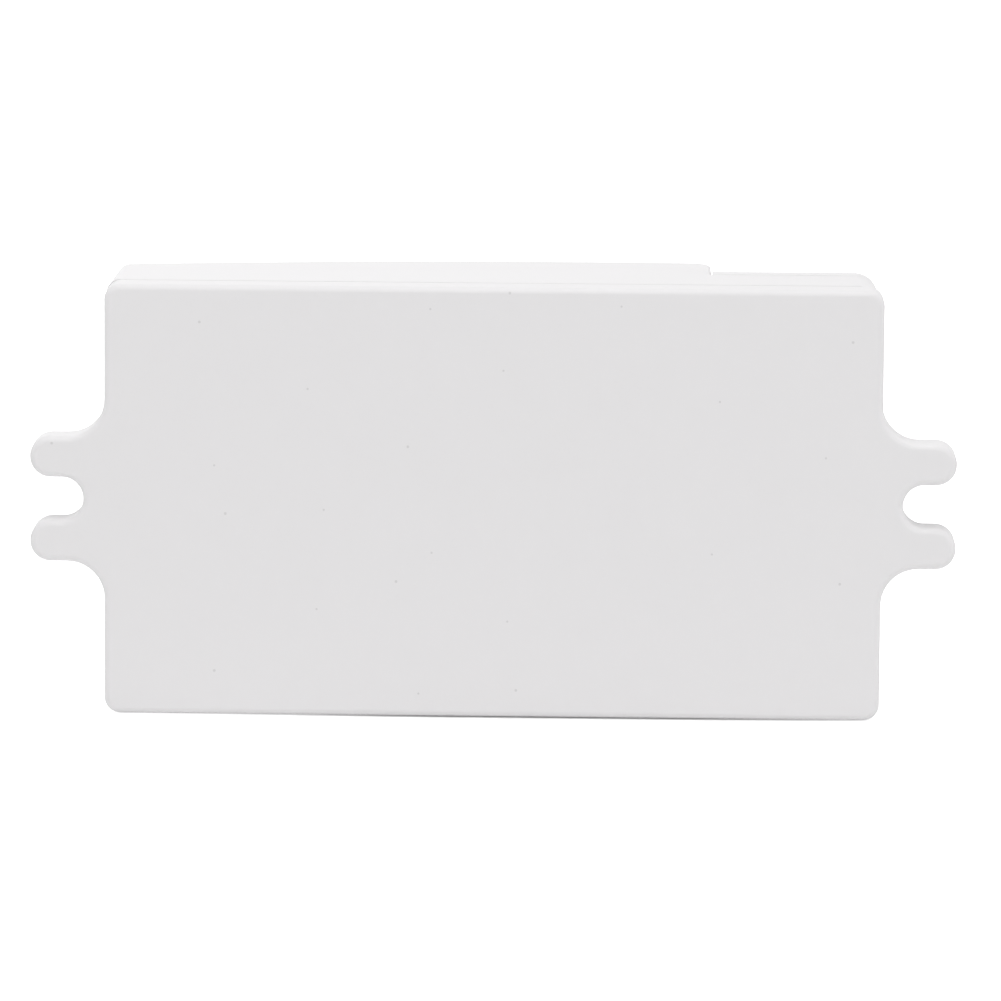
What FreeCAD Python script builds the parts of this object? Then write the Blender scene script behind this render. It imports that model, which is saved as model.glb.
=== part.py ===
import FreeCAD, Part
import math
import os
import re
import Sketcher
from FreeCAD import Placement, Rotation, Vector

# Microwave motion sensor for a ceiling or wall, millimetres.
# X runs along the case, Y from the mounting face to the front, Z up.
# The origin is the middle of the flat mounting face.

SIZES = {
    # back cover
    "plate_length": 78.9,
    "plate_width": 44.0,
    "plate_corner": 1.6,
    "rim_height": 4.0,
    "floor_thickness": 2.0,
    "edge_round": 0.65,
    "lip_thickness": 1.0,
    "lip_height": 2.0,
    "lip_gap": 0.15,
    # mounting ears
    "ear_reach": 7.55,
    "ear_width": 12.85,
    "ear_root_round": 3.8,
    "slot_width": 4.4,
    "slot_depth": 5.4,
    # snap hooks and the blind pockets they catch in
    "hook_step_gap": 1.95,
    "hook_width": 7.0,
    "hook_height": 4.8,
    "hook_relief": 0.8,
    "barb_low": 1.1,
    "barb_length": 2.7,
    "barb_flat": 0.5,
    "barb_reach": 1.25,
    "pocket_gap": 0.3,
    "pocket_skin": 0.5,
    # front housing
    "housing_overhang": 0.02,
    "parting_gap": 0.02,
    "housing_wall": 1.8,
    "draft_angle": 1.0,
    "front_room": 3.5,
    "arch_radius": 192.0,
    "arch_peak_x": 10.9,
    "step_round": 2.5,
    "left_corner": 1.4,
    "right_corner": 2.4,
    "front_round": 0.45,
    "low_wall_top": 14.45,
    "partition_gap": 0.4,
    # terminal cover
    "cover_gap": 0.15,
    "cover_step_gap": 0.12,
    "cover_room": 0.35,
    "cover_wall": 1.6,
    "cover_tab_length": 2.2,
    "cover_tab_width": 6.0,
    "cover_tab_thickness": 1.2,
    "cover_tab_gap": 0.3,
    # main board
    "standoff_height": 2.6,
    "board_thickness": 1.6,
    "board_edge_gap": 0.4,
    "boss_radius": 2.6,
    "boss_end_gap": 3.85,
    "boss_side_gap": 2.15,
    "screw_radius": 1.1,
    "screw_gap": 0.05,
    "screw_length": 4.6,
    "screw_head_radius": 2.1,
    "screw_head_height": 1.5,
    "drive_width": 0.6,
    "drive_depth": 0.7,
    "board_hole_gap": 0.2,
    "peg_reach": 1.9,
    # gaps along the board, from the left end to the right
    "film_gap": 0.9,
    "relay_gap": 1.2,
    "pot_gap": 3.4,
    "well_gap": 1.3,
    "step_gap": 1.3,
    "block_gap": 1.05,
    # gaps across the board, from the low side up
    "edge_gap": 0.95,
    "cap_relay_gap": 2.2,
    "cap_pair_gap": 1.5,
    "cap_lamp_gap": 3.2,
    "varistor_gap": 2.9,
    "regulator_gap": 5.1,
    "transistor_gap": 1.4,
    "peg_gap": 3.4,
    "fuse_gap": 0.6,
    "diode_gap": 1.4,
    "capacitor_gap": 1.8,
    "chip_gap": 4.0,
    "resistor_gap": 1.85,
    "row_edge_gap": 3.15,
    # terminal block
    "block_length": 10.4,
    "block_end_wall": 0.75,
    "block_floor": 0.5,
    "block_front_wall": 2.0,
    "pole_pitch": 7.5,
    "cage_length": 5.6,
    "cage_width": 5.0,
    "cage_plate": 0.8,
    "cage_gap": 0.3,
    "wire_room": 2.4,
    "strip_thickness": 0.7,
    "strip_width": 2.7,
    "clamp_travel": 2.0,
    "clamp_screw_radius": 1.45,
    "clamp_thread_gap": 0.1,
    "clamp_head_radius": 1.9,
    "clamp_head_height": 1.2,
    "clamp_head_gap": 0.3,
    "driver_hole_radius": 1.7,
    "driver_web": 0.6,
    "mouth_width": 4.4,
    "mouth_height": 4.7,
    "notch_width": 5.2,
    # adjusters
    "knob_pitch": 12.6,
    "knob_radius": 4.2,
    "knob_height": 2.0,
    "knob_recess": 0.3,
    "knob_gap": 0.3,
    "knob_chamfer": 0.35,
    "knob_slot_width": 1.1,
    "knob_slot_depth": 1.1,
    "well_wall": 1.2,
    "well_floor": 1.2,
    "stem_radius": 1.7,
    "stem_tip_radius": 0.95,
    "stem_tip_length": 1.2,
    "pot_size": 9.0,
    "pot_height": 5.0,
    "rotor_radius": 2.4,
    "rotor_height": 1.6,
    "rotor_proud": 0.4,
    "rotor_gap": 0.05,
    "pot_pin_pitch": 2.5,
    # light guide, light sensor and lamp
    "guide_side_gap": 1.1,
    "guide_edge_gap": 2.45,
    "guide_radius": 1.9,
    "guide_gap": 0.1,
    "guide_flange": 0.7,
    "guide_flange_height": 1.0,
    "dome_radius": 1.5,
    "dome_height": 5.2,
    "dome_rim": 0.4,
    "dome_rim_height": 1.0,
    "guide_air": 0.4,
    "lamp_pitch": 6.4,
    # relay
    "relay_length": 20.5,
    "relay_width": 10.0,
    "relay_height": 15.5,
    "relay_wall": 0.7,
    "relay_base_height": 2.0,
    "relay_fit": 0.1,
    "coil_radius": 3.3,
    "coil_length": 9.6,
    "bobbin_flange": 0.8,
    "bobbin_tube": 1.8,
    "bobbin_gap": 0.4,
    "core_radius": 1.4,
    "yoke_thickness": 0.9,
    "yoke_width": 6.6,
    "armature_gap": 0.9,
    "armature_thickness": 0.8,
    "armature_pivot_gap": 0.1,
    "armature_foot_gap": 0.6,
    "armature_top_gap": 0.9,
    "pivot_radius": 0.25,
    "contact_thickness": 0.35,
    "contact_width": 3.4,
    "contact_gap": 0.5,
    "contact_radius": 0.9,
    "contact_button": 0.4,
    # other parts on the main board
    "film_length": 13.0,
    "film_width": 6.0,
    "film_height": 11.0,
    "film_pitch": 10.0,
    "cap_pot_gap": 5.3,
    "large_cap_radius": 4.0,
    "large_cap_height": 11.0,
    "cap_stagger": 0.8,
    "small_cap_radius": 2.5,
    "small_cap_height": 11.0,
    "cap_sleeve_round": 0.4,
    "varistor_end_gap": 3.35,
    "varistor_radius": 3.8,
    "varistor_thickness": 3.4,
    "varistor_lift": 1.0,
    "fuse_radius": 1.6,
    "fuse_length": 8.6,
    "fuse_lift": 0.4,
    "diode_start": 9.0,
    "diode_pitch": 3.6,
    "diode_length": 4.3,
    "diode_width": 2.6,
    "diode_height": 2.1,
    "tab_length": 1.1,
    "tab_thickness": 0.25,
    "tab_width": 1.5,
    "can_end_gap": 2.35,
    "can_radius": 2.3,
    "can_height": 4.6,
    "can_lift": 1.4,
    "can_flat": 0.9,
    "chip_start": 8.8,
    "chip_length": 8.6,
    "chip_width": 3.9,
    "chip_height": 1.4,
    "chip_lift": 0.15,
    "chip_leg_pitch": 1.27,
    "chip_leg_width": 0.42,
    "chip_leg_reach": 1.0,
    "chip_leg_thickness": 0.25,
    "small_part_length": 1.6,
    "small_part_width": 0.8,
    "small_part_height": 0.5,
    "small_part_pitch": 2.4,
    "resistor_row_start": 0.4,
    "capacitor_row_start": 0.8,
    "lead_radius": 0.35,
    "lead_hole_gap": 0.12,
    "lead_tail": 1.2,
    "joint_radius": 0.9,
    "joint_height": 0.8,
    # microwave module
    "lamp_pin_gap": 3.65,
    "module_side_gap": 1.45,
    "module_length": 23.6,
    "module_width": 20.0,
    "module_thickness": 1.0,
    "module_room": 2.0,
    "pin_side": 0.64,
    "pin_pitch": 2.54,
    "pin_gap": 0.08,
    "pin_margin": 1.6,
    "pin_tail": 1.4,
    "spacer_width": 2.5,
    "spacer_height": 2.5,
    "trace_thickness": 0.12,
    "patch_side": 7.4,
    "patch_margin": 1.6,
    "oscillator_side": 2.0,
    "oscillator_height": 1.1,
    "amplifier_length": 5.0,
    "amplifier_height": 1.5,
}

POLES = (-1, 0, 1)
ADJUSTERS = (("sensitivity", 1), ("time", 0), ("daylight", -1))

# Places that several pieces share, as formulas of the sizes above
HALF_LENGTH = "(plate_length / 2)"
HALF_WIDTH = "(plate_width / 2)"
HOUSING_LENGTH = f"({HALF_LENGTH} + housing_overhang)"
HOUSING_WIDTH = f"({HALF_WIDTH} + housing_overhang)"
HOUSING_BACK = "(rim_height + parting_gap)"
LIP_INSET = "(housing_wall - housing_overhang + lip_gap)"
LIP_TOP = "(rim_height + lip_height)"
CAVITY_INSET = f"({LIP_INSET} + lip_thickness)"
PRONG = "((ear_width - slot_width) / 2)"
BARB_LOW = "(rim_height + barb_low)"
BARB_HIGH = "(rim_height + barb_low + barb_length)"
BOARD_BACK = "(floor_thickness + standoff_height)"
BOARD_TOP = f"({BOARD_BACK} + board_thickness)"
BOARD_LENGTH = f"({HALF_LENGTH} - {CAVITY_INSET} - board_edge_gap)"
BOARD_WIDTH = f"({HALF_WIDTH} - {CAVITY_INSET} - board_edge_gap)"
ROOM_LENGTH = f"({HALF_LENGTH} - {CAVITY_INSET})"
BOSS_X = f"({BOARD_LENGTH} - boss_end_gap)"
BOSS_Z = f"({BOARD_WIDTH} - boss_side_gap)"
WELL_RADIUS = "(knob_radius + knob_gap + well_wall)"

# Gaps between neighbours grow and shrink together, so that each row always fills its room
FREE_X = (f"({ROOM_LENGTH} + {BOSS_X} - screw_head_radius - film_length - relay_length"
          f" - pot_size / 2 - {WELL_RADIUS} - housing_wall - cover_step_gap - cover_wall - block_length)")
SPREAD_X = f"({FREE_X} / (film_gap + relay_gap + pot_gap + well_gap + step_gap + block_gap))"
FILM_X = f"(screw_head_radius + film_gap * {SPREAD_X} - {BOSS_X})"
RELAY_X = f"({FILM_X} + film_length + relay_gap * {SPREAD_X})"
BLOCK_FRONT = f"({ROOM_LENGTH} - block_gap * {SPREAD_X})"
BLOCK_X = f"({BLOCK_FRONT} - block_length)"
STEP_X = f"({BLOCK_X} - step_gap * {SPREAD_X} - cover_wall - cover_step_gap)"
HOOK_X = f"({STEP_X} + hook_step_gap + hook_width / 2)"
KNOB_X = f"({STEP_X} - housing_wall - well_gap * {SPREAD_X} - {WELL_RADIUS})"
GUIDE_X = f"({KNOB_X} - {WELL_RADIUS} - guide_side_gap - guide_radius - guide_flange)"
LAMP_X = f"({GUIDE_X} - lamp_pitch)"
LARGE_CAP_X = f"({KNOB_X} - pot_size / 2 - cap_pot_gap - large_cap_radius)"
SMALL_CAP_X = f"({LARGE_CAP_X} - cap_stagger)"
VARISTOR_X = f"(varistor_end_gap + varistor_thickness / 2 - {BOARD_LENGTH})"
CAN_X = f"(can_end_gap + can_radius - {BOARD_LENGTH})"
FUSE_X = f"({FILM_X} + film_length / 2)"
DIODE_X = f"({FILM_X} + diode_start)"
CHIP_X = f"({FILM_X} + chip_start)"
RESISTOR_ROW_X = f"({FILM_X} + resistor_row_start)"
CAPACITOR_ROW_X = f"({FILM_X} + capacitor_row_start)"

RELAY_Z = f"(edge_gap - {BOARD_WIDTH})"
FILM_Z = RELAY_Z
LAMP_Z = f"({BOARD_WIDTH} - guide_edge_gap - dome_radius - dome_rim)"
FREE_CAPS = (f"({LAMP_Z} - dome_radius - dome_rim - {RELAY_Z} - relay_width"
             f" - 2 * large_cap_radius - 2 * small_cap_radius)")
SPREAD_CAPS = f"({FREE_CAPS} / (cap_relay_gap + cap_pair_gap + cap_lamp_gap))"
LARGE_CAP_Z = f"({RELAY_Z} + relay_width + cap_relay_gap * {SPREAD_CAPS} + large_cap_radius)"
SMALL_CAP_Z = (f"({LARGE_CAP_Z} + large_cap_radius + cap_pair_gap * {SPREAD_CAPS}"
               f" + small_cap_radius)")
FREE_CANS = (f"(2 * {BOSS_Z} - screw_head_radius - screw_radius - 2 * varistor_radius"
             f" - 4 * can_radius)")
SPREAD_CANS = f"({FREE_CANS} / (varistor_gap + regulator_gap + transistor_gap + peg_gap))"
VARISTOR_Z = f"(screw_head_radius + varistor_gap * {SPREAD_CANS} + varistor_radius - {BOSS_Z})"
REGULATOR_Z = (f"({VARISTOR_Z} + varistor_radius + regulator_gap * {SPREAD_CANS}"
               f" + can_radius)")
TRANSISTOR_Z = f"({REGULATOR_Z} + 2 * can_radius + transistor_gap * {SPREAD_CANS})"
DIODE_REACH = "(diode_length / 2 + tab_length / 3)"
CHIP_REACH = "(chip_width / 2 + chip_leg_reach)"
FREE_ROWS = (f"({BOARD_WIDTH} - {FILM_Z} - film_width - 2 * fuse_radius - 2 * {DIODE_REACH}"
             f" - 2 * small_part_length - 2 * {CHIP_REACH})")
SPREAD_ROWS = (f"({FREE_ROWS} / (fuse_gap + diode_gap + capacitor_gap + chip_gap"
               f" + resistor_gap + row_edge_gap))")
FUSE_Z = f"({FILM_Z} + film_width + fuse_gap * {SPREAD_ROWS} + fuse_radius)"
DIODE_Z = f"({FUSE_Z} + fuse_radius + diode_gap * {SPREAD_ROWS} + {DIODE_REACH})"
CAPACITOR_ROW_Z = (f"({DIODE_Z} + {DIODE_REACH} + capacitor_gap * {SPREAD_ROWS}"
                   f" + small_part_length / 2)")
CHIP_Z = f"({CAPACITOR_ROW_Z} + small_part_length / 2 + chip_gap * {SPREAD_ROWS} + {CHIP_REACH})"
RESISTOR_ROW_Z = (f"({CHIP_Z} + {CHIP_REACH} + resistor_gap * {SPREAD_ROWS}"
                  f" + small_part_length / 2)")

# The relay is the tallest part and sets the depth of the case
FRONT = f"({BOARD_TOP} + relay_height + front_room + housing_wall)"
ARCH_CENTRE = f"({FRONT} - arch_radius)"
ARCH_AT_KNOBS = f"({ARCH_CENTRE} + sqrt(arch_radius^2 - ({KNOB_X} - arch_peak_x)^2))"
ARCH_AT_GUIDE = f"({ARCH_CENTRE} + sqrt(arch_radius^2 - ({GUIDE_X} - arch_peak_x)^2))"
COVER_BACK = "(low_wall_top + cover_gap)"
COVER_DRAFT = f"(tan(draft_angle) * ({COVER_BACK} - {HOUSING_BACK}))"

# Terminal clamp, from the board up
CAGE_LOW = f"({BOARD_TOP} + block_floor + cage_gap)"
STRIP_LOW = f"({CAGE_LOW} + cage_plate + wire_room)"
STRIP_HIGH = f"({STRIP_LOW} + strip_thickness)"
CAGE_TOP_PLATE = f"({STRIP_HIGH} + cage_gap)"
CAGE_HIGH = f"({CAGE_TOP_PLATE} + cage_plate)"
HEAD_LOW = f"({CAGE_HIGH} + clamp_travel + cage_gap)"
HEAD_HIGH = f"({HEAD_LOW} + clamp_head_height)"
WELL_TOP = f"({HEAD_HIGH} + clamp_head_gap / 2)"
BLOCK_TOP = f"({WELL_TOP} + driver_web)"
COVER_TOP = f"({BLOCK_TOP} + cover_room + cover_wall)"
CHAMBER_FRONT = f"({BLOCK_FRONT} - block_front_wall)"
CHAMBER_BACK = f"({CHAMBER_FRONT} - cage_length - 2 * cage_gap)"
CLAMP_X = f"(({CHAMBER_FRONT} + {CHAMBER_BACK}) / 2)"
BLOCK_HALF = "(1.5 * pole_pitch + block_end_wall)"
MOUTH_LOW = f"({CAGE_LOW} + cage_plate - cage_gap)"

# Adjusters
KNOB_TOP = f"({ARCH_AT_KNOBS} - knob_recess)"
KNOB_LOW = f"({KNOB_TOP} - knob_height)"
WELL_FLOOR = f"({KNOB_LOW} - knob_gap)"
POT_TOP = f"({BOARD_TOP} + pot_height)"
ROTOR_TOP = f"({POT_TOP} + rotor_proud)"
ROTOR_LOW = f"({ROTOR_TOP} - rotor_height)"
STEM_LOW = f"({ROTOR_TOP} + knob_gap / 3)"

# Microwave module
PIN_ROW_X = f"({LAMP_X} - dome_radius - dome_rim - lamp_pin_gap - spacer_width / 2)"
MODULE_X = f"({PIN_ROW_X} + pin_margin - module_length)"
MODULE_TOP = (f"({ARCH_CENTRE} + sqrt((arch_radius - housing_wall)^2 - ({MODULE_X} - arch_peak_x)^2)"
              f" - module_room)")
MODULE_LOW = f"({MODULE_TOP} - module_thickness)"
MODULE_Z = (f"({HOUSING_WIDTH} - tan(draft_angle) * ({MODULE_TOP} - {HOUSING_BACK}) - housing_wall"
            f" - module_side_gap - module_width)")
PIN_ROW_Z = f"({MODULE_Z} + module_width / 2 - 2 * pin_pitch)"

doc = FreeCAD.newDocument("motion_sensor")
sheet = doc.addObject("Spreadsheet::Sheet", "dims")
for row, (word, size) in enumerate(SIZES.items(), 1):
    sheet.set(f"A{row}", word)
    sheet.set(f"B{row}", str(size))
    sheet.setAlias(f"B{row}", word)
doc.recompute()

# A hidden object that works out formulas
reader = doc.addObject("Part::Box", "reader")

TURN = {
    "x": Rotation(Vector(0, 1, 0), 90),
    "y": Rotation(Vector(1, 0, 0), -90),
    "z": Rotation(),
}
count = [0]


def link(formula):
    """The same formula with each size read from the sheet."""
    return re.sub(
        r"[a-z][a-z0-9_]*",
        lambda word: "dims." + word[0] if word[0] in SIZES else word[0],
        str(formula),
    )


def value(formula):
    return float(reader.evalExpression(link(formula)))


def fresh(name):
    count[0] += 1
    return f"{name}_{count[0]}"


# Primitives and booleans

def box(xs, ys, zs, name="block"):
    """A block between two planes each way."""
    solid = doc.addObject("Part::Box", fresh(name))
    for side, axis, (low, high) in zip(("Length", "Width", "Height"), "xyz", (xs, ys, zs)):
        solid.setExpression(side, link(f"({high}) - ({low})"))
        solid.setExpression(f"Placement.Base.{axis}", link(low))
    return solid


def rod(radius, *place, tip=None, name="rod"):
    """A round bar, along the axis whose place is a pair of planes; a tip radius makes a cone."""
    solid = doc.addObject("Part::Cylinder" if tip is None else "Part::Cone", fresh(name))
    along = next(axis for axis, at in zip("xyz", place) if isinstance(at, tuple))
    solid.Placement = Placement(Vector(), TURN[along])
    for axis, at in zip("xyz", place):
        if axis == along:
            solid.setExpression("Height", link(f"({at[1]}) - ({at[0]})"))
            at = at[0]
        solid.setExpression(f"Placement.Base.{axis}", link(at))
    if tip is None:
        solid.setExpression("Radius", link(radius))
    else:
        solid.setExpression("Radius1", link(radius))
        solid.setExpression("Radius2", link(tip))
    return solid


def join(*solids, name="joined"):
    if len(solids) == 1:
        return solids[0]
    whole = doc.addObject("Part::MultiFuse", fresh(name))
    whole.Shapes = list(solids)
    whole.Refine = True
    return whole


def cut(base, *tools, name="cut"):
    rest = doc.addObject("Part::Cut", fresh(name))
    rest.Base = base
    rest.Tool = join(*tools)
    rest.Refine = True
    return rest


def group(*solids, name="group"):
    """Separate solids that lie in one named piece."""
    several = doc.addObject("Part::Compound", fresh(name))
    several.Links = list(solids)
    return several


NODES = []


def node(label, solid):
    solid.Label = label
    NODES.append(solid)
    return solid


# Bodies with sketches

def body(label):
    made = doc.addObject("PartDesign::Body", fresh("body"))
    made.Label = label
    NODES.append(made)
    return made


def draw(owner, role, loops, level="0"):
    """A sketch of closed loops on one of the body's own planes, moved along its normal.

    A loop is a list of corners, or (x, y, radius) for a circle. A corner whose second
    place is None lies on the arc that starts or ends there, and an arc is written
    between its corners as ("arc", centre x, centre y, radius).
    """
    made = owner.newObject("Sketcher::SketchObject", fresh("sketch"))
    plane = next(part for part in owner.Origin.OriginFeatures if part.Role == role)
    made.AttachmentSupport = (plane, [""])
    made.MapMode = "FlatFace"
    made.setExpression("AttachmentOffset.Base.z", link(level))
    for loop in loops:
        if isinstance(loop, tuple):
            circle(made, *loop)
        else:
            outline(made, loop)
    return made


def fix(made, kind, geo, point, formula):
    """Hold a point, or a radius, at a formula of the sizes."""
    if kind == "Radius":
        at = made.addConstraint(Sketcher.Constraint(kind, geo, value(formula)))
    else:
        at = made.addConstraint(Sketcher.Constraint(kind, -1, 1, geo, point, value(formula)))
    made.setExpression(f"Constraints[{at}]", link(formula))


def circle(made, x, y, radius):
    shape = Part.Circle(Vector(value(x), value(y), 0), Vector(0, 0, 1), value(radius))
    geo = made.addGeometry(shape, False)
    fix(made, "DistanceX", geo, 3, x)
    fix(made, "DistanceY", geo, 3, y)
    fix(made, "Radius", geo, 0, radius)


def outline(made, loop):
    corners = [step for step in loop if step[0] != "arc"]
    arcs = {
        sum(1 for before in loop[:at] if before[0] != "arc") - 1: step
        for at, step in enumerate(loop)
        if step[0] == "arc"
    }
    points = []
    for index, (x, y) in enumerate(corners):
        if y is None:
            _, middle_x, middle_y, radius = arcs.get(index) or arcs[index - 1]
            y = f"{middle_y} + sqrt(({radius})^2 - ({x} - {middle_x})^2)"
        points.append(Vector(value(x), value(y), 0))
    geos = []
    for index, start in enumerate(points):
        end = points[(index + 1) % len(points)]
        if index in arcs:
            _, middle_x, middle_y, radius = arcs[index]
            middle = Vector(value(middle_x), value(middle_y), 0)
            round_whole = Part.Circle(middle, Vector(0, 0, 1), value(radius))
            angles = sorted(math.atan2(at.y - middle.y, at.x - middle.x) for at in (start, end))
            geos.append(made.addGeometry(Part.ArcOfCircle(round_whole, *angles), False))
        else:
            geos.append(made.addGeometry(Part.LineSegment(start, end), False))
    for index, geo in enumerate(geos):
        after = geos[(index + 1) % len(geos)]
        end = 1 if index in arcs and points[index].x > points[(index + 1) % len(points)].x else 2
        if index in arcs:
            first = made.Geometry[geo].StartPoint
            end = 1 if first.distanceToPoint(points[(index + 1) % len(points)]) < 1e-6 else 2
        begin = 1
        if (index + 1) % len(points) in arcs:
            first = made.Geometry[after].StartPoint
            begin = 1 if first.distanceToPoint(points[(index + 1) % len(points)]) < 1e-6 else 2
        made.addConstraint(Sketcher.Constraint("Coincident", geo, end, after, begin))
    for index, (x, y) in enumerate(corners):
        start = 1
        if index in arcs:
            first = made.Geometry[geos[index]].StartPoint
            start = 1 if first.distanceToPoint(points[index]) < 1e-6 else 2
            _, middle_x, middle_y, radius = arcs[index]
            fix(made, "DistanceX", geos[index], 3, middle_x)
            fix(made, "DistanceY", geos[index], 3, middle_y)
            fix(made, "Radius", geos[index], 0, radius)
        fix(made, "DistanceX", geos[index], start, x)
        if y is not None:
            fix(made, "DistanceY", geos[index], start, y)


def tapered(owner, xs, zs, low, high):
    """A block that narrows towards the front on its right, upper and lower sides."""
    made = owner.newObject("PartDesign::AdditiveWedge", fresh("wedge"))
    inset = f"tan(draft_angle) * ({high} - {low})"
    bounds = {
        "Ymin": low, "Ymax": high,
        "Xmin": xs[0], "Xmax": xs[1], "Zmin": zs[0], "Zmax": zs[1],
        "X2min": xs[0],
        "X2max": f"{xs[1]} - {inset}",
        "Z2min": f"{zs[0]} + {inset}",
        "Z2max": f"{zs[1]} - {inset}",
    }
    made.Ymax = value(high) + 1
    for name, formula in bounds.items():
        made.setExpression(name, link(formula))
    doc.recompute()
    return made


def slab(owner, loops, low, high):
    """Material between two depths, from loops in X and Z."""
    made = owner.newObject("PartDesign::Pad", fresh("pad"))
    made.Profile = draw(owner, "XZ_Plane", loops, f"-({low})")
    made.Reversed = True
    made.setExpression("Length", link(f"({high}) - ({low})"))
    doc.recompute()
    return made


def hollow(owner, loops, low, high):
    """Room between two depths, from loops in X and Z."""
    before = owner.Tip.Shape.Volume
    made = owner.newObject("PartDesign::Pocket", fresh("pocket"))
    made.Profile = draw(owner, "XZ_Plane", loops, f"-({low})")
    made.setExpression("Length", link(f"({high}) - ({low})"))
    doc.recompute()
    assert made.Shape.Volume < before - 1e-6, f"{made.Name} cuts nothing"
    return made


def soften(owner, radius, chosen, kind="PartDesign::Fillet"):
    """Round or bevel the chosen edges of the body as it is now."""
    base = owner.Tip
    names = [f"Edge{i}" for i, edge in enumerate(base.Shape.Edges, 1) if chosen(edge)]
    assert names, f"{owner.Label} has no edge to soften"
    made = owner.newObject(kind, fresh("edge"))
    made.Base = (base, names)
    made.setExpression("Radius" if kind.endswith("Fillet") else "Size", link(radius))
    doc.recompute()
    assert "Invalid" not in made.State, f"{owner.Label} {radius}"
    return made


def rectangle(x_low, x_high, z_low, z_high):
    return [(x_low, z_low), (x_high, z_low), (x_high, z_high), (x_low, z_high)]


def centred(x, z, half_x, half_z):
    return rectangle(f"{x} - ({half_x})", f"{x} + ({half_x})", f"{z} - ({half_z})", f"{z} + ({half_z})")


def runs_along(edge, axis):
    if len(edge.Vertexes) != 2:
        return False
    way = edge.Vertexes[1].Point - edge.Vertexes[0].Point
    return way.Length > 1e-6 and abs(getattr(way.normalize(), axis)) > 0.99


# Back cover: floor, rim, locating lip, ears, snap hooks, bosses and pegs

def back_cover():
    cover = body("back_cover")
    half_ear = "(ear_width / 2)"
    slab(cover, [rectangle(f"-{HALF_LENGTH}", HALF_LENGTH, f"-{HALF_WIDTH}", HALF_WIDTH)], 0, "rim_height")
    for side in (-1, 1):
        root = f"{side} * ({HALF_LENGTH} - lip_thickness)"
        tip = f"{side} * ({HALF_LENGTH} + ear_reach)"
        ends = (root, tip) if side > 0 else (tip, root)
        slab(cover, [rectangle(*ends, f"-{half_ear}", half_ear)], 0, "rim_height")
    for side in (-1, 1):
        middle = f"{side} * ({HALF_LENGTH} + ear_reach - slot_depth + slot_width / 2)"
        out = f"{side} * ({HALF_LENGTH} + ear_reach + slot_width)"
        ends = (middle, out) if side > 0 else (out, middle)
        hollow(cover, [rectangle(*ends, "-slot_width / 2", "slot_width / 2")], 0, "rim_height")
        hollow(cover, [(middle, "0", "slot_width / 2")], 0, "rim_height")
    half_length, reach = value(HALF_LENGTH), value("ear_reach")
    half_width, ear, slot = value(HALF_WIDTH), value(half_ear), value("slot_width") / 2
    along = lambda edge: runs_along(edge, "y")
    soften(cover, f"{PRONG} / 2 - edge_round / 20", lambda edge: along(edge)
           and abs(abs(edge.CenterOfMass.x) - half_length - reach) < 1e-3
           and abs(edge.CenterOfMass.z) > slot - 1e-3)
    soften(cover, "ear_root_round", lambda edge: along(edge)
           and abs(abs(edge.CenterOfMass.x) - half_length) < 1e-3
           and abs(abs(edge.CenterOfMass.z) - ear) < 1e-3)
    soften(cover, "plate_corner", lambda edge: along(edge)
           and abs(abs(edge.CenterOfMass.x) - half_length) < 1e-3
           and abs(abs(edge.CenterOfMass.z) - half_width) < 1e-3)
    soften(cover, "edge_round", lambda edge: edge.BoundBox.YMax < 1e-6)

    lip = f"({HALF_LENGTH} - {LIP_INSET})", f"({HALF_WIDTH} - {LIP_INSET})"
    room = f"({HALF_LENGTH} - {CAVITY_INSET})", f"({HALF_WIDTH} - {CAVITY_INSET})"
    slab(cover, [centred("0", "0", *lip)], "rim_height", LIP_TOP)
    hollow(cover, [centred("0", "0", *room)], "floor_thickness", LIP_TOP)
    reliefs, arms = [], []
    for across in (-1, 1):
        for up in (-1, 1):
            middle = f"{up} * ({HALF_WIDTH} - {LIP_INSET} - lip_thickness / 2)"
            at = f"{across} * {HOOK_X}"
            reliefs.append(centred(at, middle, "hook_width / 2 + hook_relief",
                                   "lip_thickness / 2 + lip_gap"))
            arms.append(centred(at, middle, "hook_width / 2", "lip_thickness / 2"))
    hollow(cover, reliefs, "rim_height", LIP_TOP)
    slab(cover, arms, "rim_height", "rim_height + hook_height")
    for across in (-1, 1):
        barbs = []
        for up in (-1, 1):
            inner = f"{up} * ({HALF_WIDTH} - {LIP_INSET})"
            outer = f"{up} * ({HALF_WIDTH} - {LIP_INSET} + barb_reach)"
            barbs.append([(BARB_LOW, inner), (BARB_LOW, outer), (f"{BARB_LOW} + barb_flat", outer),
                          (BARB_HIGH, inner)])
        barb = cover.newObject("PartDesign::Pad", fresh("pad"))
        barb.Profile = draw(cover, "YZ_Plane", barbs, f"{across} * {HOOK_X}")
        barb.Midplane = True
        barb.setExpression("Length", link("hook_width"))
        doc.recompute()

    corners = [(across, up) for across in (-1, 1) for up in (-1, 1)]
    slab(cover, [(f"{a} * {BOSS_X}", f"{u} * {BOSS_Z}", "boss_radius") for a, u in corners],
         "floor_thickness", BOARD_BACK)
    screwed = [(a, u) for a, u in corners if a == u]
    pegged = [(a, u) for a, u in corners if a != u]
    hollow(cover, [(f"{a} * {BOSS_X}", f"{u} * {BOSS_Z}", "screw_radius + screw_gap") for a, u in screwed],
           "floor_thickness / 2", BOARD_BACK)
    slab(cover, [(f"{a} * {BOSS_X}", f"{u} * {BOSS_Z}", "screw_radius") for a, u in pegged],
         BOARD_BACK, f"{BOARD_BACK} + peg_reach")
    return cover


# Front housing: arched shell over the electronics and low walls round the terminals

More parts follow.
